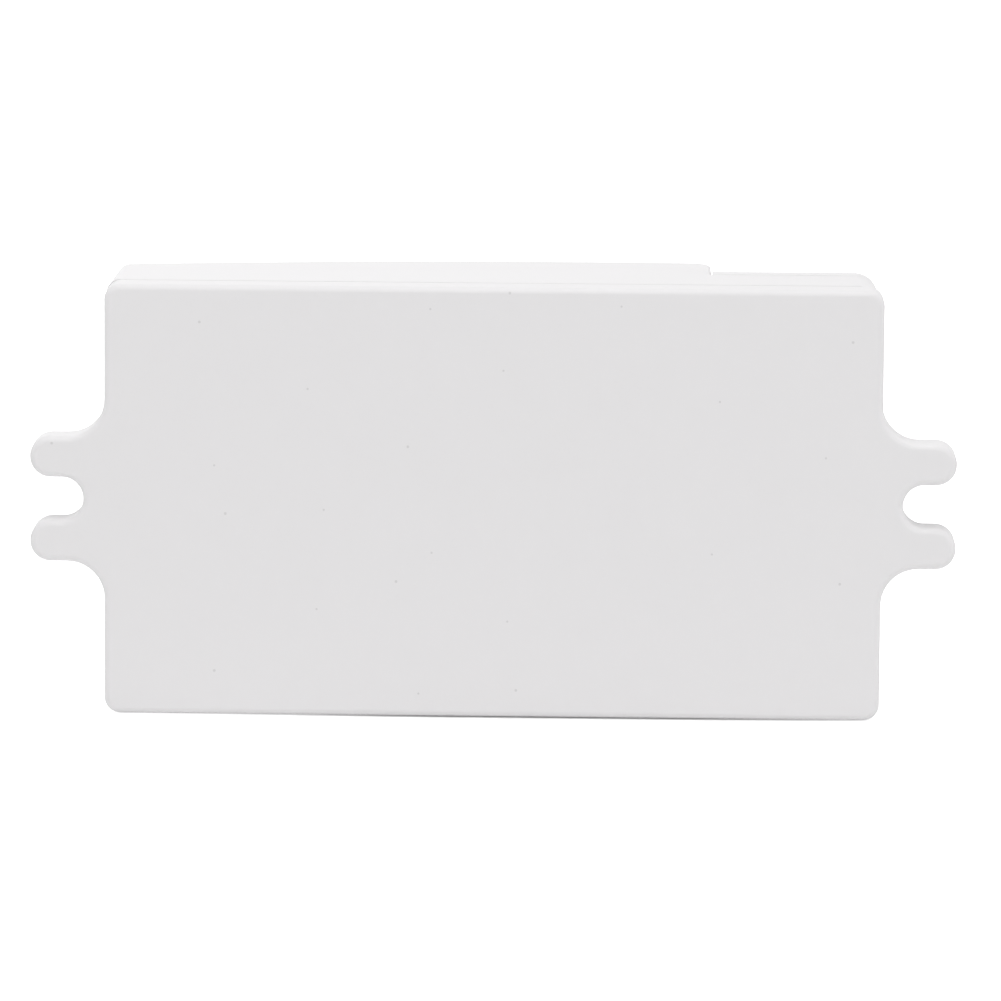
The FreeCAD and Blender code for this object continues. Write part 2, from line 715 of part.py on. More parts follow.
def arched(owner, xs, zs, back, inset, low_top):
    """A block drafted on three sides; its front follows the arch and steps down over the terminals."""
    tapered(owner, xs, zs, back, FRONT)
    above = f"({FRONT} + housing_wall)"
    arch = ("arc", "arch_peak_x", ARCH_CENTRE, f"arch_radius - {inset}")
    step = f"{STEP_X} - {inset}"
    left, right = f"(-{HOUSING_LENGTH} - housing_wall)", f"({HOUSING_LENGTH} + housing_wall)"
    front = [(left, None), arch, (step, None), (step, low_top), (right, low_top), (right, above),
             (left, above)]
    trim = owner.newObject("PartDesign::Pocket", fresh("pocket"))
    trim.Profile = draw(owner, "XY_Plane", [front])
    trim.Midplane = True
    trim.setExpression("Length", link("3 * plate_width"))
    doc.recompute()


def front_housing():
    room = body("housing_room")
    NODES.remove(room)
    x_in, z_in = f"({HOUSING_LENGTH} - housing_wall)", f"({HOUSING_WIDTH} - housing_wall)"
    arched(room, (f"-{x_in}", x_in), (f"-{z_in}", z_in), HOUSING_BACK, "housing_wall", "low_wall_top")
    shell = body("front_housing")
    arched(shell, (f"-{HOUSING_LENGTH}", HOUSING_LENGTH), (f"-{HOUSING_WIDTH}", HOUSING_WIDTH),
           HOUSING_BACK, "0", "low_wall_top")
    above = f"({FRONT} + housing_wall)"
    low = value("low_wall_top")
    length, width, step = value(HOUSING_LENGTH), value(HOUSING_WIDTH), value(STEP_X)
    corner = lambda edge, side: (edge.BoundBox.YLength > 5 and edge.BoundBox.XLength < 1
                                 and edge.BoundBox.ZLength < 1
                                 and abs(edge.CenterOfMass.x - side * length) < 1
                                 and abs(abs(edge.CenterOfMass.z) - width) < 1)
    soften(shell, "left_corner", lambda edge: corner(edge, -1))
    soften(shell, "right_corner", lambda edge: corner(edge, 1))
    soften(shell, "step_round", lambda edge: runs_along(edge, "z")
           and abs(edge.CenterOfMass.x - step) < 1e-3
           and edge.CenterOfMass.y > low + 3)
    soften(shell, "front_round", lambda edge: edge.BoundBox.YMin > value(FRONT) / 2 + 3
           and edge.BoundBox.XLength > 20 and abs(abs(edge.CenterOfMass.z) - width) < 1)

    empty = shell.newObject("PartDesign::Boolean", fresh("room"))
    empty.Type = "Cut"
    empty.setObjects([room])
    doc.recompute()

    inner = f"({HOUSING_WIDTH} - tan(draft_angle) * low_wall_top - housing_wall / 2)"
    slab(shell, [rectangle(f"{STEP_X} - housing_wall", STEP_X, f"-{inner}", inner)],
         f"{BOARD_TOP} + partition_gap", "low_wall_top + housing_wall / 2")
    wells = [(KNOB_X, f"{row} * knob_pitch", "knob_radius + knob_gap + well_wall") for _, row in ADJUSTERS]
    slab(shell, wells, f"{WELL_FLOOR} - well_floor", f"{ARCH_AT_KNOBS} - housing_wall / 2")
    hollow(shell, [(x, z, "knob_radius + knob_gap") for x, z, _ in wells], WELL_FLOOR, above)
    hollow(shell, [(x, z, "stem_radius + knob_gap") for x, z, _ in wells],
           f"{WELL_FLOOR} - 2 * well_floor", above)
    hollow(shell, [(GUIDE_X, LAMP_Z, "guide_radius + guide_gap")], f"{ARCH_AT_GUIDE} - 2 * housing_wall",
           above)

    middle = f"({HOUSING_WIDTH} - pocket_skin / 2 - housing_wall / 2 - lip_gap / 2)"
    depth = "housing_wall / 2 - pocket_skin / 2 + lip_gap / 2"
    pockets = [centred(f"{a} * {HOOK_X}", f"{u} * {middle}", "hook_width / 2 + pocket_gap", depth)
               for a in (-1, 1) for u in (-1, 1)]
    hollow(shell, pockets, f"{BARB_LOW} - pocket_gap", f"{BARB_HIGH} + pocket_gap")
    notches = [centred(HOUSING_LENGTH, f"{pole} * pole_pitch", "2 * housing_wall", "notch_width / 2")
               for pole in POLES]
    hollow(shell, notches, MOUTH_LOW, FRONT)
    return shell


# Terminal cover: a cap over the terminals with four tabs inside the low walls

def terminal_cover():
    cap = body("terminal_cover")
    length = f"({HOUSING_LENGTH} - {COVER_DRAFT})"
    width = f"({HOUSING_WIDTH} - {COVER_DRAFT})"
    start = f"({STEP_X} + cover_step_gap)"
    tapered(cap, (start, length), (f"-{width}", width), COVER_BACK, COVER_TOP)
    edge_x, edge_z, top, first = value(length), value(width), value(COVER_TOP), value(start)
    soften(cap, "right_corner", lambda edge: edge.BoundBox.YLength > 2 and edge.BoundBox.XLength < 1
           and abs(edge.CenterOfMass.x - edge_x) < 0.5 and abs(abs(edge.CenterOfMass.z) - edge_z) < 0.5)
    soften(cap, "front_round", lambda edge: edge.BoundBox.YMin > top - 0.01
           and edge.BoundBox.XMax > first + 0.01)
    room = [rectangle(f"{start} + cover_wall", f"{length} - cover_wall - right_corner / 4",
                      f"-({width} - cover_wall)", f"{width} - cover_wall")]
    hollow(cap, room, COVER_BACK, f"{COVER_TOP} - cover_wall")
    wall = f"({HOUSING_WIDTH} - tan(draft_angle) * ({COVER_BACK} - {HOUSING_BACK}) - housing_wall)"
    tabs = []
    for up in (-1, 1):
        middle = f"{up} * ({wall} - cover_tab_gap - cover_tab_thickness / 2)"
        tabs.append(centred(CLAMP_X, middle, "cover_tab_width / 2", "cover_tab_thickness / 2"))
    slab(cap, tabs, f"{COVER_BACK} - cover_tab_length", f"{COVER_TOP} - cover_wall / 2")
    return cap


# Wire leads that pass through the main board: (x, z, depth of the top end)

def lead_places():
    film = f"({FILM_X} + film_length / 2)", f"({FILM_Z} + film_width / 2)"
    relay = f"({RELAY_Z} + relay_width / 2)"
    under = f"({BOARD_TOP})"
    places = [(f"{film[0]} + {side} * film_pitch / 2", film[1], under) for side in (-1, 1)]
    for x, z, pitch in ((LARGE_CAP_X, LARGE_CAP_Z, "large_cap_radius"),
                        (SMALL_CAP_X, SMALL_CAP_Z, "small_cap_radius")):
        places += [(x, f"{z} + {side} * {pitch} / 2", under) for side in (-1, 1)]
    places += [(VARISTOR_X, f"{VARISTOR_Z} + {side} * varistor_radius * 0.6",
                f"{under} + varistor_lift * 1.5") for side in (-1, 1)]
    places += [(x, f"{z} + {side} * can_radius * 0.55", f"{under} + can_lift")
               for x, z in ((CAN_X, REGULATOR_Z), (CAN_X, TRANSISTOR_Z)) for side in (-1, 0, 1)]
    places += [(x, f"{z} + {side} * dome_radius * 0.6", under)
               for x, z in ((GUIDE_X, LAMP_Z), (LAMP_X, LAMP_Z)) for side in (-1, 1)]
    places += [(f"{KNOB_X} + {side} * pot_pin_pitch", f"{row} * knob_pitch", under) for _, row in ADJUSTERS
               for side in (-1, 1)]
    places += [(f"{FUSE_X} + {side} * (fuse_length / 2 + 3 * lead_radius)", FUSE_Z,
                f"{under} + fuse_lift + fuse_radius + 1.3 * lead_radius")
               for side in (-1, 1)]
    places += [(f"{RELAY_X} + relay_length * 0.1", f"{relay} + {side} * relay_width * 0.3", under)
               for side in (-1, 1)]
    places += [(f"{RELAY_X} + relay_length * 0.9", f"{relay} + {side} * relay_width * 0.3", under)
               for side in (-1, 1)]
    return places


def pin_places():
    return [(PIN_ROW_X, f"{PIN_ROW_Z} + {step} * pin_pitch") for step in range(5)]


def contact_tail(pole):
    """The clamp's solder tail: X and Z planes."""
    tail = f"{CHAMBER_BACK} - cage_gap - strip_thickness"
    return (tail, f"{CHAMBER_BACK} - cage_gap"), (f"{pole} * pole_pitch - strip_width / 4",
                                                  f"{pole} * pole_pitch + strip_width / 4")


def main_board():
    board = body("main_board")
    slab(board, [centred("0", "0", BOARD_LENGTH, BOARD_WIDTH)], BOARD_BACK, BOARD_TOP)
    fixings = [(f"{a} * {BOSS_X}", f"{u} * {BOSS_Z}", "screw_radius + board_hole_gap") for a in (-1, 1)
               for u in (-1, 1)]
    leads = [(x, z, "lead_radius + lead_hole_gap") for x, z, _ in lead_places()]
    pins = [centred(x, z, "pin_side / 2 + pin_gap", "pin_side / 2 + pin_gap") for x, z in pin_places()]
    tails = []
    for pole in POLES:
        (x0, x1), (z0, z1) = contact_tail(pole)
        tails.append(rectangle(f"{x0} - lead_hole_gap", f"{x1} + lead_hole_gap", f"{z0} - lead_hole_gap",
                               f"{z1} + lead_hole_gap"))
    hollow(board, fixings, BOARD_BACK, BOARD_TOP)
    hollow(board, leads, BOARD_BACK, BOARD_TOP)
    hollow(board, pins + tails, BOARD_BACK, BOARD_TOP)
    return board


def board_screws():
    screws = []
    for side in (-1, 1):
        x, z = f"{side} * {BOSS_X}", f"{side} * {BOSS_Z}"
        shank = rod("screw_radius", x, (f"{BOARD_TOP} - screw_length", BOARD_TOP), z)
        head = rod("screw_head_radius", x, (BOARD_TOP, f"{BOARD_TOP} + screw_head_height"), z,
                   tip="screw_head_radius * 0.8")
        ys = (f"{BOARD_TOP} + screw_head_height - drive_depth", f"{BOARD_TOP} + 2 * screw_head_height")
        long, short = "screw_head_radius * 0.6", "drive_width / 2"
        bars = [box((f"{x} - {a}", f"{x} + {a}"), ys, (f"{z} - {b}", f"{z} + {b}"))
                for a, b in ((long, short), (short, long))]
        screws.append(cut(join(shank, head), *bars))
    node("board_screws", group(*screws))


# Terminal block, its clamps and contacts

def terminal_block():
    block = box((BLOCK_X, BLOCK_FRONT), (BOARD_TOP, BLOCK_TOP), (f"-{BLOCK_HALF}", BLOCK_HALF))
    rooms = []
    contacts = []
    for pole in POLES:
        z = f"{pole} * pole_pitch"
        half = "(cage_width / 2 + cage_gap)"
        rooms.append(box((CHAMBER_BACK, CHAMBER_FRONT), (f"{BOARD_TOP} + block_floor", HEAD_LOW),
                         (f"{z} - {half}", f"{z} + {half}")))
        rooms.append(rod("clamp_head_radius + clamp_head_gap", CLAMP_X,
                         (f"{HEAD_LOW} - cage_gap", WELL_TOP), z))
        rooms.append(rod("driver_hole_radius", CLAMP_X, (HEAD_LOW, f"{BLOCK_TOP} + driver_web"), z))
        mouth = f"{z} - mouth_width / 2", f"{z} + mouth_width / 2"
        rooms.append(box((f"{CHAMBER_FRONT} - cage_gap", f"{BLOCK_FRONT} + block_front_wall"),
                         (MOUTH_LOW, f"{MOUTH_LOW} + mouth_height"), mouth))
        (tail_low, tail_high), (z0, z1) = contact_tail(pole)
        wide = f"{z} - strip_width / 2", f"{z} + strip_width / 2"
        rooms.append(box((f"{tail_low} - cage_gap / 2", f"{CHAMBER_BACK} + cage_gap"),
                         (f"{BOARD_TOP} - block_floor", f"{STRIP_HIGH} + cage_gap / 2"),
                         (f"{wide[0]} - cage_gap / 2", f"{wide[1]} + cage_gap / 2")))
        flat = box((tail_low, f"{CHAMBER_FRONT} - cage_gap"), (STRIP_LOW, STRIP_HIGH), wide)
        drop = box((tail_low, tail_high), (f"{BOARD_TOP} + block_floor / 2", STRIP_HIGH), wide)
        tail = box((tail_low, tail_high), (f"{BOARD_BACK} - lead_tail", STRIP_HIGH), (z0, z1))
        contacts.append(join(flat, drop, tail))
    node("terminal_block_body", cut(block, *rooms))
    node("terminal_contacts", group(*contacts))
    for number, pole in enumerate(POLES, 1):
        z = f"{pole} * pole_pitch"
        half_x, half_z = "cage_length / 2", "cage_width / 2"
        loop = box((f"{CLAMP_X} - {half_x}", f"{CLAMP_X} + {half_x}"), (CAGE_LOW, CAGE_HIGH),
                   (f"{z} - {half_z}", f"{z} + {half_z}"))
        bore = box((f"{CLAMP_X} - cage_length", f"{CLAMP_X} + cage_length"),
                   (f"{CAGE_LOW} + cage_plate", CAGE_TOP_PLATE),
                   (f"{z} - {half_z} + cage_plate", f"{z} + {half_z} - cage_plate"))
        hole = rod("clamp_screw_radius + clamp_thread_gap", CLAMP_X,
                   (STRIP_HIGH, f"{CAGE_HIGH} + cage_plate"), z)
        node(f"terminal_cage_{number}", cut(loop, bore, hole))
        shank = rod("clamp_screw_radius", CLAMP_X, (f"{STRIP_HIGH} + screw_gap", HEAD_LOW), z)
        head = rod("clamp_head_radius", CLAMP_X, (HEAD_LOW, HEAD_HIGH), z)
        slot = box((f"{CLAMP_X} - 2 * clamp_head_radius", f"{CLAMP_X} + 2 * clamp_head_radius"),
                   (f"{HEAD_HIGH} - drive_depth", f"{HEAD_HIGH} + drive_depth"),
                   (f"{z} - drive_width / 2", f"{z} + drive_width / 2"))
        node(f"terminal_screw_{number}", cut(join(shank, head), slot))


# Adjusters: potentiometers on the board, rotors in them and knobs in the front

def adjusters():
    cases = []
    for name, row in ADJUSTERS:
        z = f"{row} * knob_pitch"
        half = "pot_size / 2"
        case = box((f"{KNOB_X} - {half}", f"{KNOB_X} + {half}"), (BOARD_TOP, POT_TOP),
                   (f"{z} - {half}", f"{z} + {half}"))
        seat = rod("rotor_radius + rotor_gap", KNOB_X,
                   (f"{ROTOR_LOW} - rotor_gap", f"{POT_TOP} + rotor_height"), z)
        cases.append(cut(case, seat))
        rotor = rod("rotor_radius", KNOB_X, (ROTOR_LOW, ROTOR_TOP), z)
        socket = rod("stem_tip_radius + screw_gap", KNOB_X,
                     (f"{ROTOR_TOP} - stem_tip_length - screw_gap", f"{ROTOR_TOP} + rotor_height"), z)
        node(f"{name}_rotor", cut(rotor, socket))
        knob = body(f"{name}_knob")
        slab(knob, [(KNOB_X, z, "knob_radius")], KNOB_LOW, KNOB_TOP)
        soften(knob, "knob_chamfer", lambda edge: edge.BoundBox.YMin > value(KNOB_TOP) - 1e-3,
               "PartDesign::Chamfer")
        slab(knob, [(KNOB_X, z, "stem_radius")], STEM_LOW, KNOB_LOW)
        slab(knob, [(KNOB_X, z, "stem_tip_radius")], f"{STEM_LOW} - stem_tip_length", STEM_LOW)
        slot = centred(KNOB_X, z, "knob_slot_width / 2", "knob_radius * 0.72")
        hollow(knob, [slot], f"{KNOB_TOP} - knob_slot_depth", f"{KNOB_TOP} + knob_slot_depth")
    node("potentiometer_bodies", group(*cases))


def light_parts():
    guide_low = f"{BOARD_TOP} + dome_height + dome_radius / 2 + guide_air"
    inside = f"({ARCH_AT_GUIDE} - housing_wall - guide_gap * 2)"
    pipe = rod("guide_radius", GUIDE_X, (guide_low, ARCH_AT_GUIDE + " - guide_gap"), LAMP_Z)
    flange = rod("guide_radius + guide_flange", GUIDE_X, (f"{inside} - guide_flange_height", inside),
                 LAMP_Z)
    node("light_guide", join(pipe, flange))
    for name, x, z in (("light_sensor", GUIDE_X, LAMP_Z), ("indicator_led", LAMP_X, LAMP_Z)):
        rim = rod("dome_radius + dome_rim", x, (BOARD_TOP, f"{BOARD_TOP} + dome_rim_height"), z)
        column = rod("dome_radius", x, (BOARD_TOP, f"{BOARD_TOP} + dome_height"), z)
        dome = doc.addObject("Part::Sphere", fresh("dome"))
        dome.setExpression("Radius", link("dome_radius"))
        for axis, at in zip("xyz", (x, f"{BOARD_TOP} + dome_height - dome_radius / 2", z)):
            dome.setExpression(f"Placement.Base.{axis}", link(at))
        node(name, join(rim, column, dome))


# Relay: base, case, coil on its bobbin, core, yoke, armature and contact blades

def relay():
    z = f"({RELAY_Z} + relay_width / 2)"
    inner = "(relay_width / 2 - relay_wall)"
    front = f"({RELAY_X} + relay_length)"
    top = f"({BOARD_TOP} + relay_height)"
    shell = box((RELAY_X, front), (BOARD_TOP, top), (RELAY_Z, f"{RELAY_Z} + relay_width"))
    room = box((f"{RELAY_X} + relay_wall", f"{front} - relay_wall"),
               (f"{BOARD_TOP} - relay_wall", f"{top} - relay_wall"),
               (f"{z} - {inner}", f"{z} + {inner}"))
    node("relay_case", cut(shell, room))
    deck = f"({BOARD_TOP} + relay_base_height)"
    base = box((f"{RELAY_X} + relay_wall + relay_fit", f"{front} - relay_wall - relay_fit"),
               (BOARD_TOP, deck),
               (f"{z} - {inner} + relay_fit", f"{z} + {inner} - relay_fit"))
    node("relay_base", base)
    half_side = "(relay_width / 2 - relay_wall - bobbin_gap)"
    axis_y = f"({deck} + {half_side} + relay_fit)"
    yoke_back = f"({RELAY_X} + relay_wall + 2 * relay_fit)"
    coil_start = f"({yoke_back} + yoke_thickness + bobbin_flange)"
    coil_end = f"({coil_start} + coil_length)"
    pole_end = f"({coil_end} + bobbin_flange)"
    square = (f"{axis_y} - {half_side}", f"{axis_y} + {half_side}"), (f"{z} - {half_side}",
                                                                      f"{z} + {half_side}")
    flanges = [box((f"{coil_start} - bobbin_flange", coil_start), *square),
               box((coil_end, pole_end), *square)]
    tube = rod("bobbin_tube", (coil_start, coil_end), axis_y, z)
    bore = rod("core_radius + screw_gap", (yoke_back, f"{pole_end} + relay_wall"), axis_y, z)
    node("relay_bobbin", cut(join(*flanges, tube), bore))
    winding = rod("coil_radius", (f"{coil_start} + screw_gap", f"{coil_end} - screw_gap"), axis_y, z)
    node("relay_coil", cut(winding, rod("bobbin_tube + screw_gap", (yoke_back, front), axis_y, z)))
    node("relay_core", rod("core_radius", (f"{yoke_back} + yoke_thickness", pole_end), axis_y, z))
    half_yoke = "yoke_width / 2"
    wide = f"{z} - {half_yoke}", f"{z} + {half_yoke}"
    yoke_low = f"({axis_y} + {half_side} + relay_fit)"
    heel = box((yoke_back, f"{yoke_back} + yoke_thickness"), (deck, f"{yoke_low} + yoke_thickness"), wide)
    arm_over = box((yoke_back, f"{pole_end} + armature_gap - armature_pivot_gap"),
                   (yoke_low, f"{yoke_low} + yoke_thickness"), wide)
    pivot = f"{pole_end} + armature_gap", f"{yoke_low} + yoke_thickness / 2"
    seat = rod("pivot_radius + armature_pivot_gap", *pivot, (f"{z} - yoke_width", f"{z} + yoke_width"))
    node("relay_yoke", cut(join(heel, arm_over), seat))
    arm_back = f"({pole_end} + armature_gap)"
    arm_front = f"({arm_back} + armature_thickness)"
    arm_top = f"({top} - relay_wall - armature_top_gap)"
    arm = box((arm_back, arm_front), (f"{deck} + armature_foot_gap", arm_top), wide)
    node("relay_armature", join(arm, rod("pivot_radius", *pivot, wide)))
    blade_x = f"({arm_front} + contact_gap)"
    narrow = f"{z} - contact_width / 2", f"{z} + contact_width / 2"
    blades = []
    for step in (0, 1):
        back = f"({blade_x} + {step} * (contact_thickness + 2 * contact_button + contact_gap))"
        blade = box((back, f"{back} + contact_thickness"), (deck, arm_top), narrow)
        button_y = f"{arm_top} - 2 * contact_radius"
        button = ((f"{back} + contact_thickness", f"{back} + contact_thickness + contact_button")
                  if step == 0 else (f"{back} - contact_button", back))
        blades.append(join(blade, rod("contact_radius", button, button_y, z)))
    node("relay_contacts", group(*blades))


def can(x, z, name):
    """A small three-legged transistor case with one flat side."""
    low = f"{BOARD_TOP} + can_lift"
    barrel = rod("can_radius", x, (low, f"{low} + can_height"), z)
    flat = box((f"{x} + can_radius - can_flat", f"{x} + 2 * can_radius"),
               (f"{low} - 1", f"{low} + can_height + 1"),
               (f"{z} - 2 * can_radius", f"{z} + 2 * can_radius"))
    node(name, cut(barrel, flat))


def main_board_parts():
    node("film_capacitor",
         box((FILM_X, f"{FILM_X} + film_length"), (BOARD_TOP, f"{BOARD_TOP} + film_height"),
                               (FILM_Z, f"{FILM_Z} + film_width")))
    for label, x, z, name in (("smoothing_capacitor", LARGE_CAP_X, LARGE_CAP_Z, "large_cap"),
                              ("supply_capacitor", SMALL_CAP_X, SMALL_CAP_Z, "small_cap")):
        sleeve = body(label)
        high = f"{BOARD_TOP} + {name}_height"
        slab(sleeve, [(x, z, f"{name}_radius")], BOARD_TOP, high)
        soften(sleeve, "cap_sleeve_round", lambda edge: edge.BoundBox.YLength < 1e-3
               and len(edge.Vertexes) == 1)
    middle = f"{BOARD_TOP} + varistor_lift + varistor_radius"
    node("varistor",
         rod("varistor_radius",
             (f"{VARISTOR_X} - varistor_thickness / 2", f"{VARISTOR_X} + varistor_thickness / 2"), middle,
             VARISTOR_Z))
    axis = f"({BOARD_TOP} + fuse_lift + fuse_radius)"
    barrel = rod("fuse_radius", (f"{FUSE_X} - fuse_length / 2", f"{FUSE_X} + fuse_length / 2"), axis,
                 FUSE_Z)
    node("fuse_resistor", barrel)
    diodes, tabs = [], []
    for step in range(4):
        x = f"({DIODE_X} + {step} * diode_pitch)"
        half = "diode_width / 2"
        diodes.append(box((f"{x} - {half}", f"{x} + {half}"),
                          (f"{BOARD_TOP} + tab_thickness", f"{BOARD_TOP} + diode_height"),
                          (f"{DIODE_Z} - diode_length / 2", f"{DIODE_Z} + diode_length / 2")))
        for side in (-1, 1):
            near = f"{DIODE_Z} + {side} * (diode_length / 2 - tab_length / 2)"
            far = f"{DIODE_Z} + {side} * (diode_length / 2 + tab_length / 3)"
            zs = (near, far) if side > 0 else (far, near)
            tabs.append(box((f"{x} - tab_width / 2", f"{x} + tab_width / 2"),
                            (BOARD_TOP, f"{BOARD_TOP} + tab_thickness"), zs))
    node("rectifier_diodes", group(*diodes))
    node("diode_tabs", group(*tabs))
    can(CAN_X, REGULATOR_Z, "voltage_regulator")
    can(CAN_X, TRANSISTOR_Z, "driver_transistor")
    low = f"{BOARD_TOP} + chip_lift"
    chip = box((f"{CHIP_X} - chip_length / 2", f"{CHIP_X} + chip_length / 2"),
               (low, f"{low} + chip_height"),
               (f"{CHIP_Z} - chip_width / 2", f"{CHIP_Z} + chip_width / 2"))
    node("controller_chip", chip)
    legs = []
    for step in range(7):
        x = f"({CHIP_X} + {step - 3} * chip_leg_pitch)"
        for side in (-1, 1):
            near = f"{CHIP_Z} + {side} * chip_width / 2"
            far = f"{CHIP_Z} + {side} * (chip_width / 2 + chip_leg_reach)"
            zs = (near, far) if side > 0 else (far, near)
            legs.append(box((f"{x} - chip_leg_width / 2", f"{x} + chip_leg_width / 2"),
                            (BOARD_TOP, f"{BOARD_TOP} + chip_leg_thickness"), zs))
    node("controller_legs", group(*legs))
    for label, start_x, start_z, number in (("chip_resistors", RESISTOR_ROW_X, RESISTOR_ROW_Z, 7),
                                            ("chip_capacitors", CAPACITOR_ROW_X, CAPACITOR_ROW_Z, 6)):
        row = []
        for step in range(number):
            x = f"({start_x} + {step} * small_part_pitch)"
            row.append(box((f"{x} - small_part_width / 2", f"{x} + small_part_width / 2"),
                           (BOARD_TOP, f"{BOARD_TOP} + small_part_height"),
                           (f"{start_z} - small_part_length / 2", f"{start_z} + small_part_length / 2")))
        node(label, group(*row))


def leads_and_joints():
    leads, joints = [], []
    for x, z, top in lead_places():
        leads.append(rod("lead_radius", x, (f"{BOARD_BACK} - lead_tail", top), z))
    arms = []
    for side in (-1, 1):
        reach = f"{FUSE_X} + {side} * (fuse_length / 2 + 3 * lead_radius)"
        end = f"{FUSE_X} + {side} * fuse_length / 2"
        xs = (end, reach) if side > 0 else (reach, end)
        arms.append(rod("0.85 * lead_radius", xs, f"{BOARD_TOP} + fuse_lift + fuse_radius", FUSE_Z))
    node("component_leads", join(*leads, *arms))
    for x, z, _ in lead_places():
        cone = rod("lead_radius + screw_gap * 2", x, (f"{BOARD_BACK} - joint_height", BOARD_BACK), z,
                   tip="joint_radius")
        hole = rod("lead_radius + screw_gap / 5", x,
                   (f"{BOARD_BACK} - 2 * joint_height", f"{BOARD_BACK} + joint_height"), z)
        joints.append(cut(cone, hole))
    node("solder_joints", group(*joints))


# Microwave module on five header pins in front of the main board

def microwave_module():
    module = body("microwave_board")
    slab(module, [rectangle(MODULE_X, f"{MODULE_X} + module_length", MODULE_Z,
                            f"{MODULE_Z} + module_width")], MODULE_LOW, MODULE_TOP)
    holes = [centred(x, z, "pin_side / 2 + pin_gap", "pin_side / 2 + pin_gap") for x, z in pin_places()]
    hollow(module, holes, MODULE_LOW, MODULE_TOP)
    pins, cores = [], []
    for x, z in pin_places():
        half = "pin_side / 2"
        pins.append(box((f"{x} - {half}", f"{x} + {half}"),
                        (f"{BOARD_BACK} - pin_tail", f"{MODULE_TOP} + pin_tail / 2"),
                        (f"{z} - {half}", f"{z} + {half}")))
        fit = f"({half} + pin_gap / 2)"
        cores.append(box((f"{x} - {fit}", f"{x} + {fit}"),
                         (f"{BOARD_TOP} - pin_tail", f"{MODULE_TOP} + pin_tail"),
                         (f"{z} - {fit}", f"{z} + {fit}")))
    node("header_pins", group(*pins))
    half = "spacer_width / 2"
    lows = [box((f"{PIN_ROW_X} - {half}", f"{PIN_ROW_X} + {half}"), ys,
                (f"{PIN_ROW_Z} - {half}", f"{PIN_ROW_Z} + 4 * pin_pitch + {half}"))
            for ys in ((BOARD_TOP, f"{BOARD_TOP} + spacer_height"),
                       (f"{MODULE_LOW} - spacer_height", MODULE_LOW))]
    node("header_spacers", group(*[cut(low, *[box_copy for box_copy in cores]) for low in lows]))
    face = (MODULE_TOP, f"{MODULE_TOP} + trace_thickness")
    left, low = f"({MODULE_X} + patch_margin)", f"({MODULE_Z} + patch_margin)"
    patches = [box((left, f"{left} + patch_side"), face, (z0, f"{z0} + patch_side"))
               for z0 in (low, f"({MODULE_Z} + module_width - patch_margin - patch_side)")]
    feed_x = f"{left} + patch_side"
    feed_end = f"{feed_x} + patch_side / 2"
    middle_z = f"({MODULE_Z} + module_width / 2)"
    line = "trace_thickness * 4"
    spine = box((f"{feed_end} - {line}", feed_end), face,
                (f"{low} + patch_side / 2", f"{MODULE_Z} + module_width - patch_margin - patch_side / 2"))
    arms = [box((feed_x, feed_end), face,
                (f"{z0} + patch_side / 2 - {line} / 2", f"{z0} + patch_side / 2 + {line} / 2"))
            for z0 in (low, f"({MODULE_Z} + module_width - patch_margin - patch_side)")]
    stub = box((feed_end, f"{feed_end} + oscillator_side"), face,
               (f"{middle_z} - {line} / 2", f"{middle_z} + {line} / 2"))
    node("antenna_traces", join(*patches, spine, *arms, stub))
    start = f"{feed_end} + oscillator_side"
    node("oscillator_transistor",
         box((start, f"{start} + oscillator_side"), (MODULE_TOP, f"{MODULE_TOP} + oscillator_height"),
                                      (f"{middle_z} - oscillator_side / 2",
                                       f"{middle_z} + oscillator_side / 2")))
    node("amplifier_chip",
         box((f"{MODULE_X} + module_length / 2 - amplifier_length / 2",
              f"{MODULE_X} + module_length / 2 + amplifier_length / 2"),
                               (f"{MODULE_LOW} - amplifier_height", MODULE_LOW),
                               (f"{middle_z} - chip_width / 2", f"{middle_z} + chip_width / 2")))


back_cover()
front_housing()
terminal_cover()
main_board()
board_screws()
terminal_block()
adjusters()
light_parts()
relay()
main_board_parts()
leads_and_joints()
microwave_module()
doc.recompute()

for item in doc.Objects:
    assert not {"Invalid", "Error"} & set(item.State), f"{item.Label} {item.State}"
for item in NODES:
    assert not item.Shape.isNull() and item.Shape.isValid(), item.Label
    assert item.Shape.Solids, item.Label

os.makedirs("parts", exist_ok=True)
for item in NODES:
    item.Shape.exportStep(f"parts/{item.Label}.step")
    box_now = item.Shape.BoundBox
    print(f"{item.Label:24} {len(item.Shape.Solids)} {item.Shape.Volume:10.2f}  "
          f"X {box_now.XMin:.2f} {box_now.XMax:.2f}  Y {box_now.YMin:.2f} {box_now.YMax:.2f}  "
          f"Z {box_now.ZMin:.2f} {box_now.ZMax:.2f}")
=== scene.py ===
import math

import bmesh
import bpy
from mathutils import Matrix, Vector


